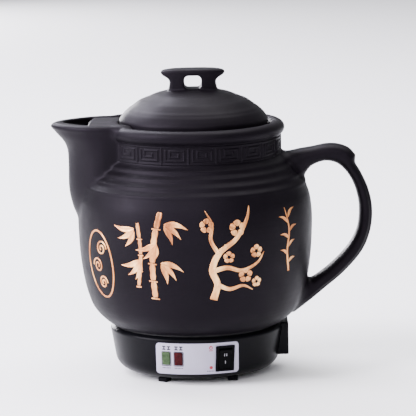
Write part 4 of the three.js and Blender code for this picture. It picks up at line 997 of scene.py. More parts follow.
def stem(foot, head, joints, width, lean=0.0):
    """Bamboo stem of short joints from foot to head."""
    foot, head = np.array(foot, float), np.array(head, float)
    run = head - foot
    beside = np.array([-run[1], run[0]])
    strokes = []
    for i in range(joints):
        shares = np.linspace(i / joints + joint_gap, (i + 1) / joints - joint_gap, 5)
        path = [foot + run * s + beside * lean * math.sin(math.pi * s) for s in shares]
        strokes.append((path, width * np.array([0.75, 1.0, 0.86, 1.0, 0.75])))
        knot = path[0] - run / np.linalg.norm(run)
        side = beside / np.linalg.norm(beside) * width * knot_half_share
        strokes.append(([knot - side, knot, knot + side], knot_widths))
    return strokes


bamboo = stem((-33, 73), (-27, 141), 5, 5.0, 0.05) + stem((-47, 82), (-46, 132), 4, 3.2, -0.06)
for u, v, angles in [
    (-24, 131, (-12, -38, -64)), (-30, 117, (200, 226, 250)), (-49, 127, (176, 206, 236)),
    (-27, 101, (-20, -46, -72)), (-44, 103, (196, 224, 248)),
]:
    for i, angle in enumerate(angles):
        bamboo.append(leaf(u, v - i, angle, leaf_length - leaf_shorter * i, leaf_width, leaf_bend))
drawing("bamboo_drawing", bamboo)

# %% [markdown]
# The plum branch is old wood: a thick crooked trunk with thin twigs. Its blossoms are five fat strokes
# each, set round a centre that is left bare.

# %% Plum branch
def blossom(u, v, size):
    """Five round petals."""
    petals = []
    for i in range(5):
        turn = math.radians(90 + 72 * i)
        outward = np.array([math.cos(turn), math.sin(turn)])
        start = np.array([u, v]) + 0.28 * size * outward
        end = np.array([u, v]) + size * outward
        path = [start + (end - start) * s for s in (0, 0.3, 0.65, 0.9, 1.0)]
        petals.append((path, size * np.array([0.25, 0.7, 0.86, 0.55, 0.12])))
    return petals


trunk = [(14, 72), (17, 84), (13, 96), (19, 109), (32, 119), (41, 133), (44, 143)]
plum = [
    (trunk, [6.2, 5.2, 5.4, 4.4, 3.6, 2.6, 0.8]),
    ([(14, 95), (25, 97), (37, 94), (50, 99), (56, 107)], [4.2, 3.6, 3.0, 2.2, 0.6]),
    ([(18, 108), (12, 119), (13, 131), (8, 141)], [3.6, 3.0, 2.2, 0.6]),
    ([(17, 84), (27, 80), (38, 82), (47, 78)], [3.8, 3.2, 2.4, 0.6]),
]
blossoms = [(9, 130, 5.6), (33, 127, 6.4), (49, 108, 5.2), (40, 90, 5.8), (26, 105, 4.6), (50, 84, 4.2)]
for u, v, size in blossoms:
    plum += blossom(u, v, size)
drawing("plum_drawing", plum)

# %% [markdown]
# At the left sits an upright oval seal, as potters stamp beside a drawing. Inside it are three cloud
# scrolls in thin line. At the right a thin sprig balances it.

# %% Seal and sprig
scroll_tightness = 12.5


def oval(u, v, half_width, half_height, line, tilt=0.0):
    """An upright oval that leans by the tilt in degrees."""
    lean = math.tan(math.radians(tilt))
    path = []
    for t in np.linspace(0, 2 * math.pi, 33):
        up = half_height * math.sin(t)
        path.append((u + half_width * math.cos(t) + lean * up, v + up))
    return path, [line] * len(path)


def scroll(u, v, size, hand, line):
    """A cloud curl that winds inward."""
    path = []
    for t in np.linspace(0, 3.4 * math.pi, 22):
        reach = size * (1 - t / scroll_tightness)
        path.append((u + hand * reach * math.cos(t), v + reach * math.sin(t)))
    return path, [line] * len(path)


seal = [oval(-87, 95.5, 15.5, 26.0, 1.5, -4)]
seal += [scroll(-84, 108, 6.2, 1, 1.3), scroll(-90, 94, 6.2, -1, 1.3), scroll(-85, 81, 5.4, 1, 1.3)]
drawing("seal_drawing", seal)

sprig = [([(84, 88), (81, 104), (83, 120), (79, 138)], [1.9, 1.7, 1.5, 0.5])]
sprig_length, sprig_shorter, sprig_width, sprig_bend = 11.5, 0.4, 2.5, 0.14
sprig_leaves = [
    (82, 130, 38), (81.5, 126, 150), (83, 119, 24), (82.5, 114, 160), (82, 107, 30), (81.5, 101, 152),
    (83, 95, 20),
]
for i, (u, v, angle) in enumerate(sprig_leaves):
    hand = 1 if angle < 90 else -1
    sprig.append(leaf(u, v, angle, sprig_length - sprig_shorter * i, sprig_width, hand * sprig_bend))
drawing("sprig_drawing", sprig)
print("gold drawings: bamboo, plum branch, seal and sprig")

# %% [markdown]
# The plastic base
#
# The base is an injection moulding in black, slightly glossy plastic: a leaning wall over a rounded
# bottom, with a narrow rounded ledge where the clay starts. A lathe outline with small radii gives the
# moulded look. The openings for windows, switch and inlet are cut, as in the mould.

# %% Black plastic
def moulded_black(name, roughness, grain, tone=0.0014, shine=0.05):
    """Black plastic of a mould's even grain."""
    tones = [(0.3, (tone, tone, tone * 1.35)), (0.7, (tone * 1.5, tone * 1.45, tone * 2.0))]
    return mottled_finish(
        name, tones, mottle=(25.0, 3.0), satin=(roughness, roughness + 0.08), satin_noise=(80.0, 4.0),
        grain=(grain, 0.6, 2400.0, 2.0), Specular_IOR_Level=shine, IOR=1.5, Coat_Weight=0.0,
    )


base_black = moulded_black("base_black", 0.3, 0.00002)
switch_black = moulded_black("switch_black", 0.22, 0.00001, 0.0008, 0.03)
foot_black = moulded_black("foot_black", 0.7, 0.00004, 0.003)

# %% [markdown]
# The plastic parts are made as a toolmaker makes them: turned about the pot's axis, or built from boxes
# with softened edges and cut by other boxes. The helpers for that follow, and one shades the result.

# %% Lathe and cutting helpers
def lathe_piece(name, outline, sides):
    """A closed ring of an outline of (radius, height) round the pot's axis."""
    rings = []
    for azimuth in np.linspace(0, 2 * math.pi, sides, endpoint=False):
        x, y = math.sin(azimuth), -math.cos(azimuth)
        rings.append([(radius * x, radius * y, height) for radius, height in outline])
    return loft_piece(name, rings, looped=True)


longest_bend_share = 0.48


def round_bend(before, corner, after, radius, steps=5):
    """Points of a rounded corner between two straight runs."""
    before, corner, after = (np.array(p, float) for p in (before, corner, after))
    toward = (before - corner) / np.linalg.norm(before - corner)
    away = (after - corner) / np.linalg.norm(after - corner)
    half = math.acos(np.clip(toward @ away, -1, 1)) / 2
    shorter = min(np.linalg.norm(before - corner), np.linalg.norm(after - corner))
    reach = min(radius / math.tan(half), longest_bend_share * shorter)
    start, end = corner + toward * reach, corner + away * reach
    shares = np.linspace(0, 1, steps)
    return [tuple((1 - s) ** 2 * start + 2 * s * (1 - s) * corner + s**2 * end) for s in shares]


def rounded_outline(corners):
    """Closed outline from (first, second, corner radius) places."""
    points = []
    for i, (a, b, radius) in enumerate(corners):
        if radius == 0:
            points.append((a, b))
            continue
        before, after = corners[i - 1][:2], corners[(i + 1) % len(corners)][:2]
        points += round_bend(before, (a, b), after, radius)
    return points


def evaluated_mesh(thing):
    """A mesh of what a curve, or a piece with its modifiers, looks like in the scene."""
    bpy.context.view_layer.update()
    graph = bpy.context.evaluated_depsgraph_get()
    return bpy.data.meshes.new_from_object(thing.evaluated_get(graph))


def combine(piece, operation, *tools):
    """Cuts the tools out of the piece, or joins them to it, and removes them."""
    for tool in tools:
        change = piece.modifiers.new("change", "BOOLEAN")
        change.operation = operation
        change.solver = "EXACT"
        change.object = tool
    mesh = evaluated_mesh(piece)
    piece.modifiers.clear()
    piece.data = mesh
    for tool in tools:
        bpy.data.meshes.remove(tool.data)


def shade(piece, crease):
    """Smooth shading, except at edges sharper than the crease, in degrees."""
    set_smooth(piece.data)
    piece.data.set_sharp_from_angle(angle=math.radians(crease))


def box_piece(name, low, high, radius=0.0, place=Matrix.Identity(4), segments=3):
    """A box between two corners, with rounded edges, in millimetres, moved by a place."""
    shape = bmesh.new()
    bmesh.ops.create_cube(shape, size=1.0)
    low, high = Vector(low), Vector(high)
    for vertex in shape.verts:
        for i in range(3):
            vertex.co[i] = low[i] + (vertex.co[i] + 0.5) * (high[i] - low[i])
    if radius > 0:
        bmesh.ops.bevel(shape, geom=list(shape.edges), offset=radius, segments=segments, profile=0.5,
                        affect="EDGES", clamp_overlap=True)
    bmesh.ops.transform(shape, matrix=place, verts=shape.verts)
    for vertex in shape.verts:
        vertex.co = vertex.co * millimetre + Vector((pot_axis, 0, 0))
    mesh = bpy.data.meshes.new(name)
    shape.to_mesh(mesh)
    shape.free()
    set_smooth(mesh, radius > 0)
    return put_in_scene(name, mesh)


# %% [markdown]
# The wall of the base leans outward, and windows, switch and panel sit square to it. So each fitting
# gets a place of its own on the wall, and is drawn there as if it lay flat.

# %% Places on the wall
shell_bottom, shell_flat, shell_corner = 3.8, 52.2, 12.6
shell_taper = math.radians(9.5)
shell_shoulder, shell_top, shell_wall = 35.4, 39.1, 2.5
corner_top_height = shell_bottom + shell_corner * (1 - math.sin(shell_taper))
corner_top_radius = shell_flat + shell_corner * math.cos(shell_taper)
lip_outer, lip_inner, ledge_top, ledge_inner = 67.1, 64.2, 36.6, 60.3
fitting_height = 22.1


def shell_radius(height):
    """Radius of the wall's outer face at a height."""
    return corner_top_radius + (height - corner_top_height) * math.tan(shell_taper)


def wall_place(azimuth, height=fitting_height):
    """X to the right, Y up the leaning wall, Z straight out of it, in millimetres."""
    radius = shell_radius(height)
    out_flat = Vector((math.sin(azimuth), -math.cos(azimuth), 0))
    right = Vector((math.cos(azimuth), math.sin(azimuth), 0))
    lift = Vector((0, 0, 1))
    out = out_flat * math.cos(shell_taper) - lift * math.sin(shell_taper)
    up = out_flat * math.sin(shell_taper) + lift * math.cos(shell_taper)
    place = Matrix((right, up, out)).transposed().to_4x4()
    place.translation = out_flat * radius + lift * height
    return place


keep_warm_turn, boil_turn, switch_turn = math.radians(-21.3), math.radians(-12.7), math.radians(18.4)
keep_warm_place, boil_place, switch_place = map(wall_place, (keep_warm_turn, boil_turn, switch_turn))

# %% [markdown]
# The shell is one turned outline: a flat underside with a rebate for the cover, a round corner, the
# leaning wall and the ledge that carries the pot. The openings are a little wider than what they hold.

# %% Base shell
def shell_arc(radius, start, end, steps=9):
    """Points of the rounded corner under the wall, between two turns."""
    turns = np.linspace(start, end, steps)
    centre = shell_bottom + shell_corner
    return [(shell_flat + radius * math.cos(t), centre + radius * math.sin(t)) for t in turns]


rebate, rebate_height, rebate_lap = 41.3, 5.9, 5.4
ledge_underside = ledge_top - shell_wall
inner_radius = shell_radius(ledge_underside) - shell_wall
shoulder_lift, shoulder_round, lip_flat, lip_round = 1.2, 2.4, 0.6, 0.5
outer_arc = shell_arc(shell_corner, -math.pi / 2, -shell_taper)
bend_height = shell_shoulder + shoulder_lift
top_round = rounded_outline([
    (*outer_arc[-1], 0), (shell_radius(bend_height), bend_height, shoulder_round),
    (lip_inner + lip_flat, shell_top, lip_round), (lip_inner, ledge_top, 0),
])
shell_outline = [
    (rebate, shell_bottom), *outer_arc[:-1], *top_round,
    (ledge_inner, ledge_top), (ledge_inner, ledge_underside), (inner_radius, ledge_underside),
    *shell_arc(shell_corner - shell_wall, -shell_taper, -math.pi / 2, steps=5),
    (rebate + shell_wall, shell_bottom + shell_wall), (rebate + shell_wall, rebate_height + shell_wall),
    (rebate - rebate_lap, rebate_height + shell_wall), (rebate - rebate_lap, rebate_height),
    (rebate, rebate_height),
]
base_sides = 192
base = lathe_piece("base_moulding", shell_outline, base_sides)
gap = 0.3
window_width, window_tall = 6.2, 10.4
switch_width, switch_tall = 12.6, 19.0
socket_back, socket_half, socket_low, socket_high = 50.5, 13.8, 15.1, 33.7
past_wall = 77


def wall_cutter(place, width, tall, back=-8.0, front=6.0):
    """A tool that opens the wall for a fitting, with the gap all round it."""
    half_width, half_tall = width / 2 + gap, tall / 2 + gap
    return box_piece("cutter", (-half_width, -half_tall, back), (half_width, half_tall, front), 0, place)


socket_tool_low = (socket_back, -socket_half - gap, socket_low - gap)
socket_tool_high = (past_wall, socket_half + gap, socket_high + gap)
combine(
    base, "DIFFERENCE",
    wall_cutter(keep_warm_place, window_width, window_tall),
    wall_cutter(boil_place, window_width, window_tall),
    wall_cutter(switch_place, switch_width, switch_tall),
    box_piece("cutter", socket_tool_low, socket_tool_high),
)
shade(base, crease=35)
settle(base, "pot", "base_plastic", base_black, "base_shell")

# %% [markdown]
# Inside the base sit the screw posts of the moulding. They hide behind the wall, but the screws need
# something to bite in, so they are added as plain round posts.

# %% Posts in the base
def post_piece(name, x, y, radius, low, high, sides=32, edge=0.3):
    """An upright round post with softened ends."""
    outline = [(radius - edge, low), (radius, low + edge), (radius, high - edge), (radius - edge, high)]
    turns = np.linspace(0, 2 * math.pi, sides, endpoint=False)
    rings = [[(x + r * math.cos(t), y + r * math.sin(t), z) for t in turns] for r, z in outline]
    return loft_piece(name, rings)


diagonal = math.sqrt(0.5)
boss_circle, boss_size = 38.2, (3.6, 6.2, 13.2)
clamp_circle, clamp_size = 59.9, (4.5, 24.7, 33.3)
boss_places = [(boss_circle * diagonal * i, boss_circle * diagonal * j) for i in (-1, 1) for j in (-1, 1)]
clamp_places = [(clamp_circle * diagonal * i, clamp_circle * diagonal * i) for i in (-1, 1)]
base_posts = [post_piece("boss", x, y, *boss_size) for x, y in boss_places]
base_posts += [post_piece("clamp_post", x, y, *clamp_size) for x, y in clamp_places]
inner_posts = join_pieces("base_posts", base_posts)
settle(inner_posts, "pot", "base_plastic", base_black)

# %% [markdown]
# The control panel
#
# A thin silver-white plate is glued round the front of the wall. It is drawn flat, as its maker would
# stamp it: an outline with rounded corners and three openings. Then it is cut into narrow upright
# strips and bent round the wall, strip by strip, so its edges stay crisp.

# %% Panel plate
def bend_round_wall(piece, centre_height=fitting_height):
    """Wraps a flat piece, drawn in X and Y with Z out, round the wall's lean and curve."""
    for vertex in piece.data.vertices:
        u, v, out = (value / millimetre for value in vertex.co)
        height = centre_height + v * math.cos(shell_taper) - out * math.sin(shell_taper)
        reach = shell_radius(centre_height) + v * math.sin(shell_taper) + out * math.cos(shell_taper)
        azimuth = u / reach
        place = Vector((reach * math.sin(azimuth), -reach * math.cos(azimuth), height))
        vertex.co = place * millimetre + Vector((pot_axis, 0, 0))
    piece.data.update()


def flat_plate(name, outlines, thickness, edge, back):
    """A plate from closed outlines in millimetres; outlines inside the first become openings."""
    curve = bpy.data.curves.new(name, "CURVE")
    curve.dimensions = "2D"
    curve.fill_mode = "BOTH"
    curve.extrude = (thickness / 2 - edge) * millimetre
    curve.bevel_depth = edge * millimetre
    curve.bevel_resolution = 2
    curve.offset = -edge * millimetre
    for outline in outlines:
        spline = curve.splines.new("POLY")
        spline.points.add(len(outline) - 1)
        for point, (x, y) in zip(spline.points, outline):
            point.co = (x * millimetre, y * millimetre, 0, 1)
        spline.use_cyclic_u = True
    holder = put_in_scene(name, curve)
    mesh = evaluated_mesh(holder)
    bpy.data.curves.remove(curve)
    mesh.transform(Matrix.Translation((0, 0, (back + thickness / 2) * millimetre)))
    return put_in_scene(name, mesh)


def slice_upright(piece, half_width, pitch):
    """Cuts the piece along upright planes so that it can bend between them."""
    shape = bmesh.new()
    shape.from_mesh(piece.data)
    bmesh.ops.remove_doubles(shape, verts=shape.verts, dist=0.000002)
    for x in np.arange(-half_width + pitch, half_width, pitch):
        everything = list(shape.verts) + list(shape.edges) + list(shape.faces)
        bmesh.ops.bisect_plane(shape, geom=everything, plane_co=(x * millimetre, 0, 0), plane_no=(1, 0, 0))
    bmesh.ops.recalc_face_normals(shape, faces=shape.faces)
    shape.to_mesh(piece.data)
    shape.free()


def rounded_rectangle(centre_x, centre_y, width, height, radius, steps=6):
    """Closed outline of a rectangle with round corners."""
    points = []
    for quarter, (side_x, side_y) in enumerate([(1, 1), (-1, 1), (-1, -1), (1, -1)]):
        for turn in np.linspace(0, math.pi / 2, steps):
            angle = quarter * math.pi / 2 + turn
            points.append((centre_x + side_x * (width / 2 - radius) + radius * math.cos(angle),
                           centre_y + side_y * (height / 2 - radius) + radius * math.sin(angle)))
    return points


wall_radius = shell_radius(fitting_height)
window_places = [keep_warm_turn * wall_radius, boil_turn * wall_radius]
switch_at = switch_turn * wall_radius
panel_half, panel_height, panel_corner = 33.2, 25.3, 2.8
panel_thickness, panel_edge, strip_width = 0.8, 0.18, 1.5
window_hole_corner, switch_hole_corner, hole_steps = 0.7, 0.5, 3
panel_outlines = [rounded_rectangle(0, 0, 2 * panel_half, panel_height, panel_corner)]
holes = [(x, window_width, window_tall, window_hole_corner) for x in window_places]
holes += [(switch_at, switch_width, switch_tall, switch_hole_corner)]
for x, width, tall, corner in holes:
    panel_outlines.append(rounded_rectangle(x, 0, width + 2 * gap, tall + 2 * gap, corner, hole_steps))
panel = flat_plate("panel_plate", panel_outlines, panel_thickness, panel_edge, gap)
slice_upright(panel, panel_half, strip_width)
bend_round_wall(panel)
shade(panel, crease=30)
panel_paint = mottled_finish(
    "panel_paint", [(0.3, (0.31, 0.29, 0.37)), (0.7, (0.36, 0.34, 0.43))], mottle=(40.0, 3.0),
    satin=(0.3, 0.42), satin_noise=(500.0, 3.0), grain=(0.00002, 0.6, 2200.0, 2.0),
    Metallic=0.1, Specular_IOR_Level=0.3,
)
settle(panel, "pot", "panel_plate", panel_paint, "control_panel")

# %% [markdown]
# The windows are coloured caps, green for keeping warm and red for boiling, with fine upright ribs on
# their faces that scatter the lamp's light. They are unlit here, so they look deep rather than bright.

# %% Windows
cap_back, cap_face, cap_edge = -3.1, 1.5, 0.5
rib_count, rib_half, rib_edge = 5, 0.22, 0.12
rib_margin, rib_end_inset, rib_root, rib_rise = 1.1, 0.8, 0.3, 0.08


def tinted(name, dark, bright):
    """Coloured plastic, a little cloudy."""
    return mottled_finish(
        name, [(0.3, dark), (0.7, bright)], mottle=(350.0, 4.0), satin=(0.25, 0.4), satin_noise=(600.0, 2.0),
        grain=(0.00006, 0.6, 1200.0, 3.0), Specular_IOR_Level=0.08,
    )


def window_cap(name, place, material, node, finish_slot):
    """A cap with a soft edge and shallow ribs on its face."""
    half_w, half_t = window_width / 2, window_tall / 2
    low, high = (-half_w, -half_t, cap_back), (half_w, half_t, cap_face)
    parts = [box_piece(f"{name}_body", low, high, cap_edge, place)]
    for x in np.linspace(-half_w + rib_margin, half_w - rib_margin, rib_count):
        rib_low = (x - rib_half, -half_t + rib_end_inset, cap_face - rib_root)
        rib_high = (x + rib_half, half_t - rib_end_inset, cap_face + rib_rise)
        parts.append(box_piece("rib", rib_low, rib_high, rib_edge, place))
    cap = join_pieces(name, parts)
    set_smooth(cap.data)
    settle(cap, "pot", finish_slot, material, node)


green = tinted("green_tint", (0.018, 0.034, 0.014), (0.052, 0.082, 0.038))
red = tinted("red_tint", (0.011, 0.0008, 0.0014), (0.042, 0.0022, 0.0042))
window_cap("keep_warm_cap", keep_warm_place, green, "keep_warm_window", "green_window")
window_cap("boil_cap", boil_place, red, "boil_window", "red_window")

# %% [markdown]
# The print on the plate is plain marks only. Each window has a fine dark frame round it, bars over it
# and short rules under it. Beside the switch stand a red ring, a red dot and a row of rules. All are
# thin films of ink on the plate, drawn flat and bent round the wall with it.

# %% Printed marks
def ink(name, colour):
    """Ink that lies thinner in places."""
    material, tree, shader = new_material(name, Roughness=0.55, Specular_IOR_Level=0.3)
    thin = tuple(value * 1.5 + 0.01 for value in colour)
    patchy = ramp(tree, noise(tree, 700.0, 2.0), (0.3, colour), (0.75, thin))
    tree.links.new(patchy, shader.inputs["Base Color"])
    return material


grey_ink = ink("grey_ink", (0.008, 0.007, 0.012))
red_ink = ink("red_ink", (0.22, 0.008, 0.018))
ink_thickness, ink_edge, ink_sink, print_half = 0.08, 0.01, 0.02, 40
bar_corner_share = 0.4


def disc(x, y, radius, steps=20):
    turns = np.linspace(0, 2 * math.pi, steps, endpoint=False)
    return [(x + radius * math.cos(t), y + radius * math.sin(t)) for t in turns]


def print_marks(name, outlines_of_marks, material):
    """Prints several marks, each given by its outer outline and any openings, as one film."""
    films = []
    for outlines in outlines_of_marks:
        film = flat_plate("mark", outlines, ink_thickness, ink_edge, gap + panel_thickness - ink_sink)
        slice_upright(film, print_half, strip_width)
        bend_round_wall(film)
        films.append(film)
    marks = join_pieces(name, films)
    settle(marks, "pot", "panel_plate", material)


def bar(x, y, width, height):
    return [rounded_rectangle(x, y, width, height, bar_corner_share * min(width, height), steps=3)]


def ring(x, y, radius, line):
    return [disc(x, y, radius), disc(x, y, radius - line)]


frame_gap, frame_line, frame_corner, frame_inner_corner = 0.9, 0.45, 0.9, 0.6
bar_beside = 1.9
bar_places = [(10.0, 2.9, 1.0), (7.7, 2.9, 1.0), (8.85, 1.0, 2.4)]
rule_height, rule_size, rule_steps = -7.6, (0.8, 0.85), (-2.9, -1.75, -0.6, 0.6, 1.75, 2.9)
low_rule_height, low_rule_size, low_rule_steps = -10.2, (0.85, 0.75), (-2.8, -1.6, -0.4, 0.8, 2.0)
red_beside_switch = 10.6
grey_marks = []
for x in window_places:
    inner_width, inner_tall = window_width + frame_gap, window_tall + frame_gap
    outer_width, outer_tall = inner_width + 2 * frame_line, inner_tall + 2 * frame_line
    grey_marks.append([
        rounded_rectangle(x, 0, outer_width, outer_tall, frame_corner, hole_steps),
        rounded_rectangle(x, 0, inner_width, inner_tall, frame_inner_corner, hole_steps),
    ])
    for side in (-1, 1):
        grey_marks += [bar(x + side * bar_beside, *size) for size in bar_places]
    grey_marks += [bar(x + step, rule_height, *rule_size) for step in rule_steps]
red_at = switch_at - red_beside_switch
grey_marks += [bar(red_at + step, low_rule_height, *low_rule_size) for step in low_rule_steps]
print_marks("grey_print", grey_marks, grey_ink)
ring_height, ring_radius, ring_line = 9.0, 1.5, 0.6
tick_height, tick_size = 9.9, (0.6, 1.7)
dot_height, dot_radius = -7.3, 1.35
dash_height, dash_size = 6.6, (3.2, 0.6)
red_marks = [
    ring(red_at, ring_height, ring_radius, ring_line), bar(red_at, tick_height, *tick_size),
    [disc(red_at, dot_height, dot_radius)], bar(red_at, dash_height, *dash_size),
]
print_marks("red_print", red_marks, red_ink)

# %% [markdown]
# The rocker switch
#
# The switch is a snap-in part of a standard size: a bezel with a rounded rim, a well and a dished
# rocker on two pins. The rocker rides on its own body, so it tips in the other poses. Its marks, one
# stroke and two strokes, are moulded in a raised pale plastic.

# %% Switch housing and rocker
bezel_width, bezel_tall, bezel_back, bezel_face = 15.0, 21.0, 1.4, 2.6
bezel_edge, body_edge, body_back, body_front = 0.35, 0.2, -13.0, 2.0
switch_wall, well_floor, well_mouth = 0.9, -6.5, 8.0
well_width, well_tall = switch_width - 2 * switch_wall, switch_tall - 2 * switch_wall
pivot_depth = 2.4


def switch_box(name, width, tall, back, front, edge):
    """A box about the middle of the switch, as deep as its back and front say."""
    return box_piece(name, (-width / 2, -tall / 2, back), (width / 2, tall / 2, front), edge, switch_place)


housing = switch_box("switch_bezel", bezel_width, bezel_tall, bezel_back, bezel_face, bezel_edge)
switch_body = switch_box("switch_body", switch_width, switch_tall, body_back, body_front, body_edge)
combine(housing, "UNION", switch_body)
combine(housing, "DIFFERENCE", switch_box("cutter", well_width, well_tall, well_floor, well_mouth, 0))
housing.data.set_sharp_from_angle(angle=math.radians(40))
settle(housing, "pot", "switch_plastic", switch_black, "switch_housing")

side_play, end_play, rocker_stand = 0.35, 1.1, 1.3
rocker_half_width, rocker_half_tall = well_width / 2 - side_play, well_tall / 2 - end_play
rocker_crest, rocker_dish = bezel_face + rocker_stand, 1.25
face_inset, end_drop, skirt_drop, keel_half, keel_bottom = 0.3, 0.35, 3.5, 2.5, -5.4


def dish_level(y):
    """Level of the dished face at a place along the rocker."""
    return rocker_crest - rocker_dish * (1 - (y / rocker_half_tall) ** 2)


def rocker_profile():
    """Side outline of the rocker: dished face, short skirt and a keel over the pivot."""
    face_half = rocker_half_tall - face_inset
    face = [(y, dish_level(y)) for y in np.linspace(-face_half, face_half, 19)]
    right = [(rocker_half_tall, rocker_crest - end_drop), (rocker_half_tall, rocker_crest - skirt_drop)]
    right.append((keel_half, keel_bottom))
    left = [(-y, level) for y, level in reversed(right)]
    return face + right + left


def placed_rings(rings, place):
    """Rings given in a wall place, moved to the pot's axis."""
    return [[tuple(place @ Vector(point)) for point in points] for points in rings]


inset_steps = [(-1.0, 0.3), (-0.97, 0.08), (-0.9, 0.0), (0.9, 0.0), (0.97, 0.08), (1.0, 0.3)]
inset_sink_share = 0.6
rocker_rings = []
for share, inset in inset_steps:
    x, sink = share * rocker_half_width, inset * inset_sink_share
    shrink = 1 - inset / rocker_half_tall
    rocker_rings.append([(x, y * shrink, z - sink) for y, z in rocker_profile()])
paddle = loft_piece("rocker_paddle", placed_rings(rocker_rings, switch_place))
pin_length, pin_width, pin_edge = 12.0, 2.4, 0.6
pin_back, pin_front = -pivot_depth - pin_width / 2, -pivot_depth + pin_width / 2
pins = switch_box("rocker_pins", pin_length, pin_width, pin_back, pin_front, pin_edge)
rocker = join_pieces("rocker", [paddle, pins])
rocker.data.set_sharp_from_angle(angle=math.radians(38))
settle(rocker, "rocker", "switch_plastic", switch_black, "switch_rocker")

mark_width, mark_tall, mark_root, mark_rise, mark_edge = 0.45, 3.3, 0.3, 0.12, 0.05
mark_places = [(-0.85, 3.7), (0.85, 3.7), (0.0, -3.4)]
mark_pieces = []
for x, y in mark_places:
    mark_low = (x - mark_width / 2, y - mark_tall / 2, dish_level(y) - mark_root)
    mark_high = (x + mark_width / 2, y + mark_tall / 2, dish_level(y) + mark_rise)
    mark_pieces.append(box_piece("mark", mark_low, mark_high, mark_edge, switch_place))
pale_plastic = mottled_finish(
    "pale_plastic", [(0.3, (0.2, 0.195, 0.215)), (0.7, (0.29, 0.285, 0.31))], mottle=(900.0, 2.0),
    satin=(0.4, 0.55), satin_noise=(400.0, 2.0), Specular_IOR_Level=0.4,
)
settle(join_pieces("rocker_marks", mark_pieces), "rocker", "switch_plastic", pale_plastic)

# %% [markdown]
# Mains inlet and feet
#
# The inlet is a black box on the right of the base, under the handle, with a three-pin recess facing
# outward. Its edges are softened as moulded edges are. The feet are small black pads.

# %% Inlet housing
inlet_face, inlet_bottom, inlet_top, inlet_half = 71.9, 13.7, 39.2, 15.5
recess_half, recess_low, recess_high, recess_back, recess_corner = 12.1, 16.6, 32.2, 55.7, 4.0
inlet_edge, socket_edge, tool_bore, tool_top, recess_mouth = 0.9, 0.3, 0.01, 41, 76.0
casing_low, casing_high = (socket_back, -inlet_half, inlet_bottom), (inlet_face, inlet_half, inlet_top)
casing = box_piece("inlet_casing", casing_low, casing_high, inlet_edge)
wall_outline = [
    (tool_bore, shell_bottom), *[(radius + gap, height) for radius, height in outer_arc],
    (shell_radius(shell_shoulder) + gap, shell_shoulder), (lip_outer + gap, shell_top),
    (lip_outer + gap, tool_top), (tool_bore, tool_top),
]
wall_tool = lathe_piece("cutter", wall_outline, sides=96)
body_low, body_high = (socket_back, -socket_half, socket_low), (inlet_face - gap, socket_half, socket_high)
socket_body = box_piece("socket_body", body_low, body_high, socket_edge)
combine(casing, "DIFFERENCE", wall_tool)
combine(casing, "UNION", socket_body)
recess_outline = [
    (-recess_half, recess_low), (recess_half, recess_low), (recess_half, recess_high - recess_corner),
    (recess_half - recess_corner, recess_high), (-recess_half + recess_corner, recess_high),
    (-recess_half, recess_high - recess_corner),
]
recess_rings = [[(x, y, z) for y, z in recess_outline] for x in (recess_back, recess_mouth)]
recess_tool = loft_piece("cutter", recess_rings, smooth=False)
pin_places = [(-7.0, 24.4), (7.0, 24.4), (0.0, 27.6)]
slot_half, slot_half_tall, slot_back, slot_front = 1.3, 2.3, 45, 60
pin_tools = []
for y, z in pin_places:
    slot_low = (slot_back, y - slot_half, z - slot_half_tall)
    slot_high = (slot_front, y + slot_half, z + slot_half_tall)
    pin_tools.append(box_piece("cutter", slot_low, slot_high))
combine(casing, "DIFFERENCE", recess_tool, *pin_tools)
shade(casing, crease=32)
settle(casing, "pot", "base_plastic", base_black, "inlet_housing")

# %% [markdown]
# Two feet show under the front edge, and two more are needed behind. They are square pads of dull
# rubber, turned as the photograph shows the front ones.

# %% Feet
feet = {
    "foot_front_left": (-31, 60), "foot_front_right": (33, 0),
    "foot_back_right": (147, 0), "foot_back_left": (213, 60),
}
foot_half, foot_top, foot_circle, foot_edge = 3.8, 3.5, 50.0, 0.6
for node, (azimuth, turned) in feet.items():
    angle = math.radians(azimuth)
    place = Matrix.Translation((foot_circle * math.sin(angle), -foot_circle * math.cos(angle), 0))
    place = place @ Matrix.Rotation(math.radians(turned), 4, "Z")
    pad_low, pad_high = (-foot_half, -foot_half, 0), (foot_half, foot_half, foot_top)
    pad = box_piece(f"{node}_pad", pad_low, pad_high, foot_edge, place)
    settle(pad, "pot", "foot_rubber", foot_black, node)

# %% [markdown]
# Everything inside
#
# The heater, thermostat, boards and wires keep their CAD shapes, for they are right as they are. Each
# gets a finish of its own kind: cast or brushed metal, board, enamel, rubber. The finishes come
# from one small table, since they differ only in colour, gloss and grain.

# %% Inner finishes
inner_finishes = {
    "silicone": ((0.02, 0.02, 0.021), 0.6, 0.0, 60),
    "base_plastic": ((0.012, 0.012, 0.014), 0.35, 0.0, 80),
    "lamp_glass": ((0.75, 0.6, 0.42), 0.12, 0.0, 200),
    "circuit_board": ((0.03, 0.16, 0.06), 0.45, 0.0, 300),
    "relay_plastic": ((0.03, 0.08, 0.33), 0.4, 0.0, 120),
    "terminal_plastic": ((0.05, 0.27, 0.08), 0.4, 0.0, 120),
    "aluminium": ((0.5, 0.51, 0.53), 0.42, 1.0, 250),
    "steel": ((0.4, 0.41, 0.43), 0.32, 1.0, 400),
    "brass": ((0.58, 0.38, 0.13), 0.3, 1.0, 400),
    "thermostat_body": ((0.78, 0.75, 0.66), 0.5, 0.0, 150),
    "wire_sleeve": ((0.45, 0.04, 0.03), 0.5, 0.0, 90),
    "neutral_sleeve": ((0.04, 0.1, 0.38), 0.5, 0.0, 90),
    "earth_sleeve": ((0.12, 0.36, 0.06), 0.5, 0.0, 90),
}


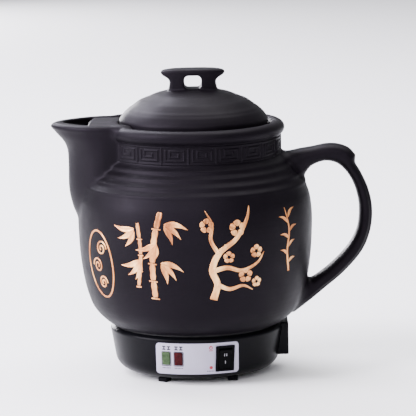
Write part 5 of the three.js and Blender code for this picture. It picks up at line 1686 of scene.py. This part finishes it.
def inner_finish(name, colour, roughness, metallic, grain):
    """A finish for a CAD node from its colour, roughness, metal share and grain."""
    dark = tuple(value * 0.8 for value in colour)
    light = tuple(min(1, value * 1.15) for value in colour)
    return mottled_finish(
        f"{name}_finish", [(0.3, dark), (0.7, light)], mottle=(grain, 4.0),
        satin=(roughness - 0.06, roughness + 0.08), satin_noise=(grain * 2, 3.0),
        grain=(0.00004, 0.5, grain * 6, 2.0), Metallic=metallic,
    )


ready = {name: inner_finish(name, *values) for name, values in inner_finishes.items()}
slot_of = {entry["node"]: entry["material_slot"] for entry in frame["record"]["subparts"]}
dressed = 0
for node, solid in frame["nodes"].items():
    if solid.hide_render or slot_of[node] not in ready:
        continue
    solid.data.materials.clear()
    solid.data.materials.append(ready[slot_of[node]])
    dressed += 1
print("CAD nodes dressed:", dressed)

# %% [markdown]
# Floor and light
#
# A pale floor and six soft lights, as on a product table. The strongest stands on the left, like a
# window, and lays the grey-violet sheen on lid, shoulder and spout. Two stand behind on the left, one
# high and one low, and draw the rim and the spout out of the dark. A broad one fills the front, a small
# one adds a narrower gleam beside it, and a large one hangs overhead.

# %% Floor
floor_reach, floor_sides = 9.0, 96
floor_mesh = bpy.data.meshes.new("floor")
floor_turns = np.linspace(0, 2 * math.pi, floor_sides, endpoint=False)
floor_points = [(floor_reach * math.cos(t), floor_reach * math.sin(t), 0) for t in floor_turns]
floor_mesh.from_pydata(floor_points, [], [tuple(range(floor_sides))])
floor = put_in_scene("floor", floor_mesh)
floor_paint, _, floor_shader = new_material("floor_paint", Roughness=0.9, Specular_IOR_Level=0.1)
floor_shader.inputs["Base Color"].default_value = (0.86, 0.86, 0.87, 1)
floor_mesh.materials.append(floor_paint)

# %% [markdown]
# Every light is a round panel aimed at the pot. Large panels give broad soft edges, as on the burnished
# clay, and a faint even sky keeps the shadows open.

# %% Lights
world = bpy.data.worlds.new("studio")
world.use_nodes = True
world.node_tree.nodes["Background"].inputs["Color"].default_value = (0.9, 0.91, 0.95, 1)
world.node_tree.nodes["Background"].inputs["Strength"].default_value = 0.48
bpy.context.scene.world = world


def soft_light(name, place, size, power, colour=(1, 1, 1)):
    """A round panel of light that faces the pot."""
    lamp = bpy.data.lights.new(name, "AREA")
    lamp.shape = "DISK"
    lamp.size = size
    lamp.energy = power
    lamp.color = colour
    holder = put_in_scene(name, lamp)
    holder.location = place
    holder.rotation_euler = (aim - Vector(place)).to_track_quat("-Z", "Y").to_euler()


soft_light("window_left", (-2.0, -0.65, 1.15), 1.8, 205, (0.93, 0.89, 1.0))
soft_light("window_back_left", (-1.1, 1.5, 1.7), 1.6, 130, (0.9, 0.88, 1.0))
soft_light("window_back_low", (-0.95, 3.0, 0.45), 0.8, 60, (0.96, 0.94, 1.0))
soft_light("front_fill", (-0.1, -2.4, 1.5), 2.2, 62, (0.97, 0.95, 1.0))
soft_light("spot_front", (-0.75, -0.62, 1.4), 0.3, 14, (0.95, 0.93, 1.0))
soft_light("overhead", (0.3, 0.5, 2.6), 2.4, 105)

# %% [markdown]
# Finish
#
# The view layer is brought up to date.

# %% Finish
bpy.context.view_layer.update()
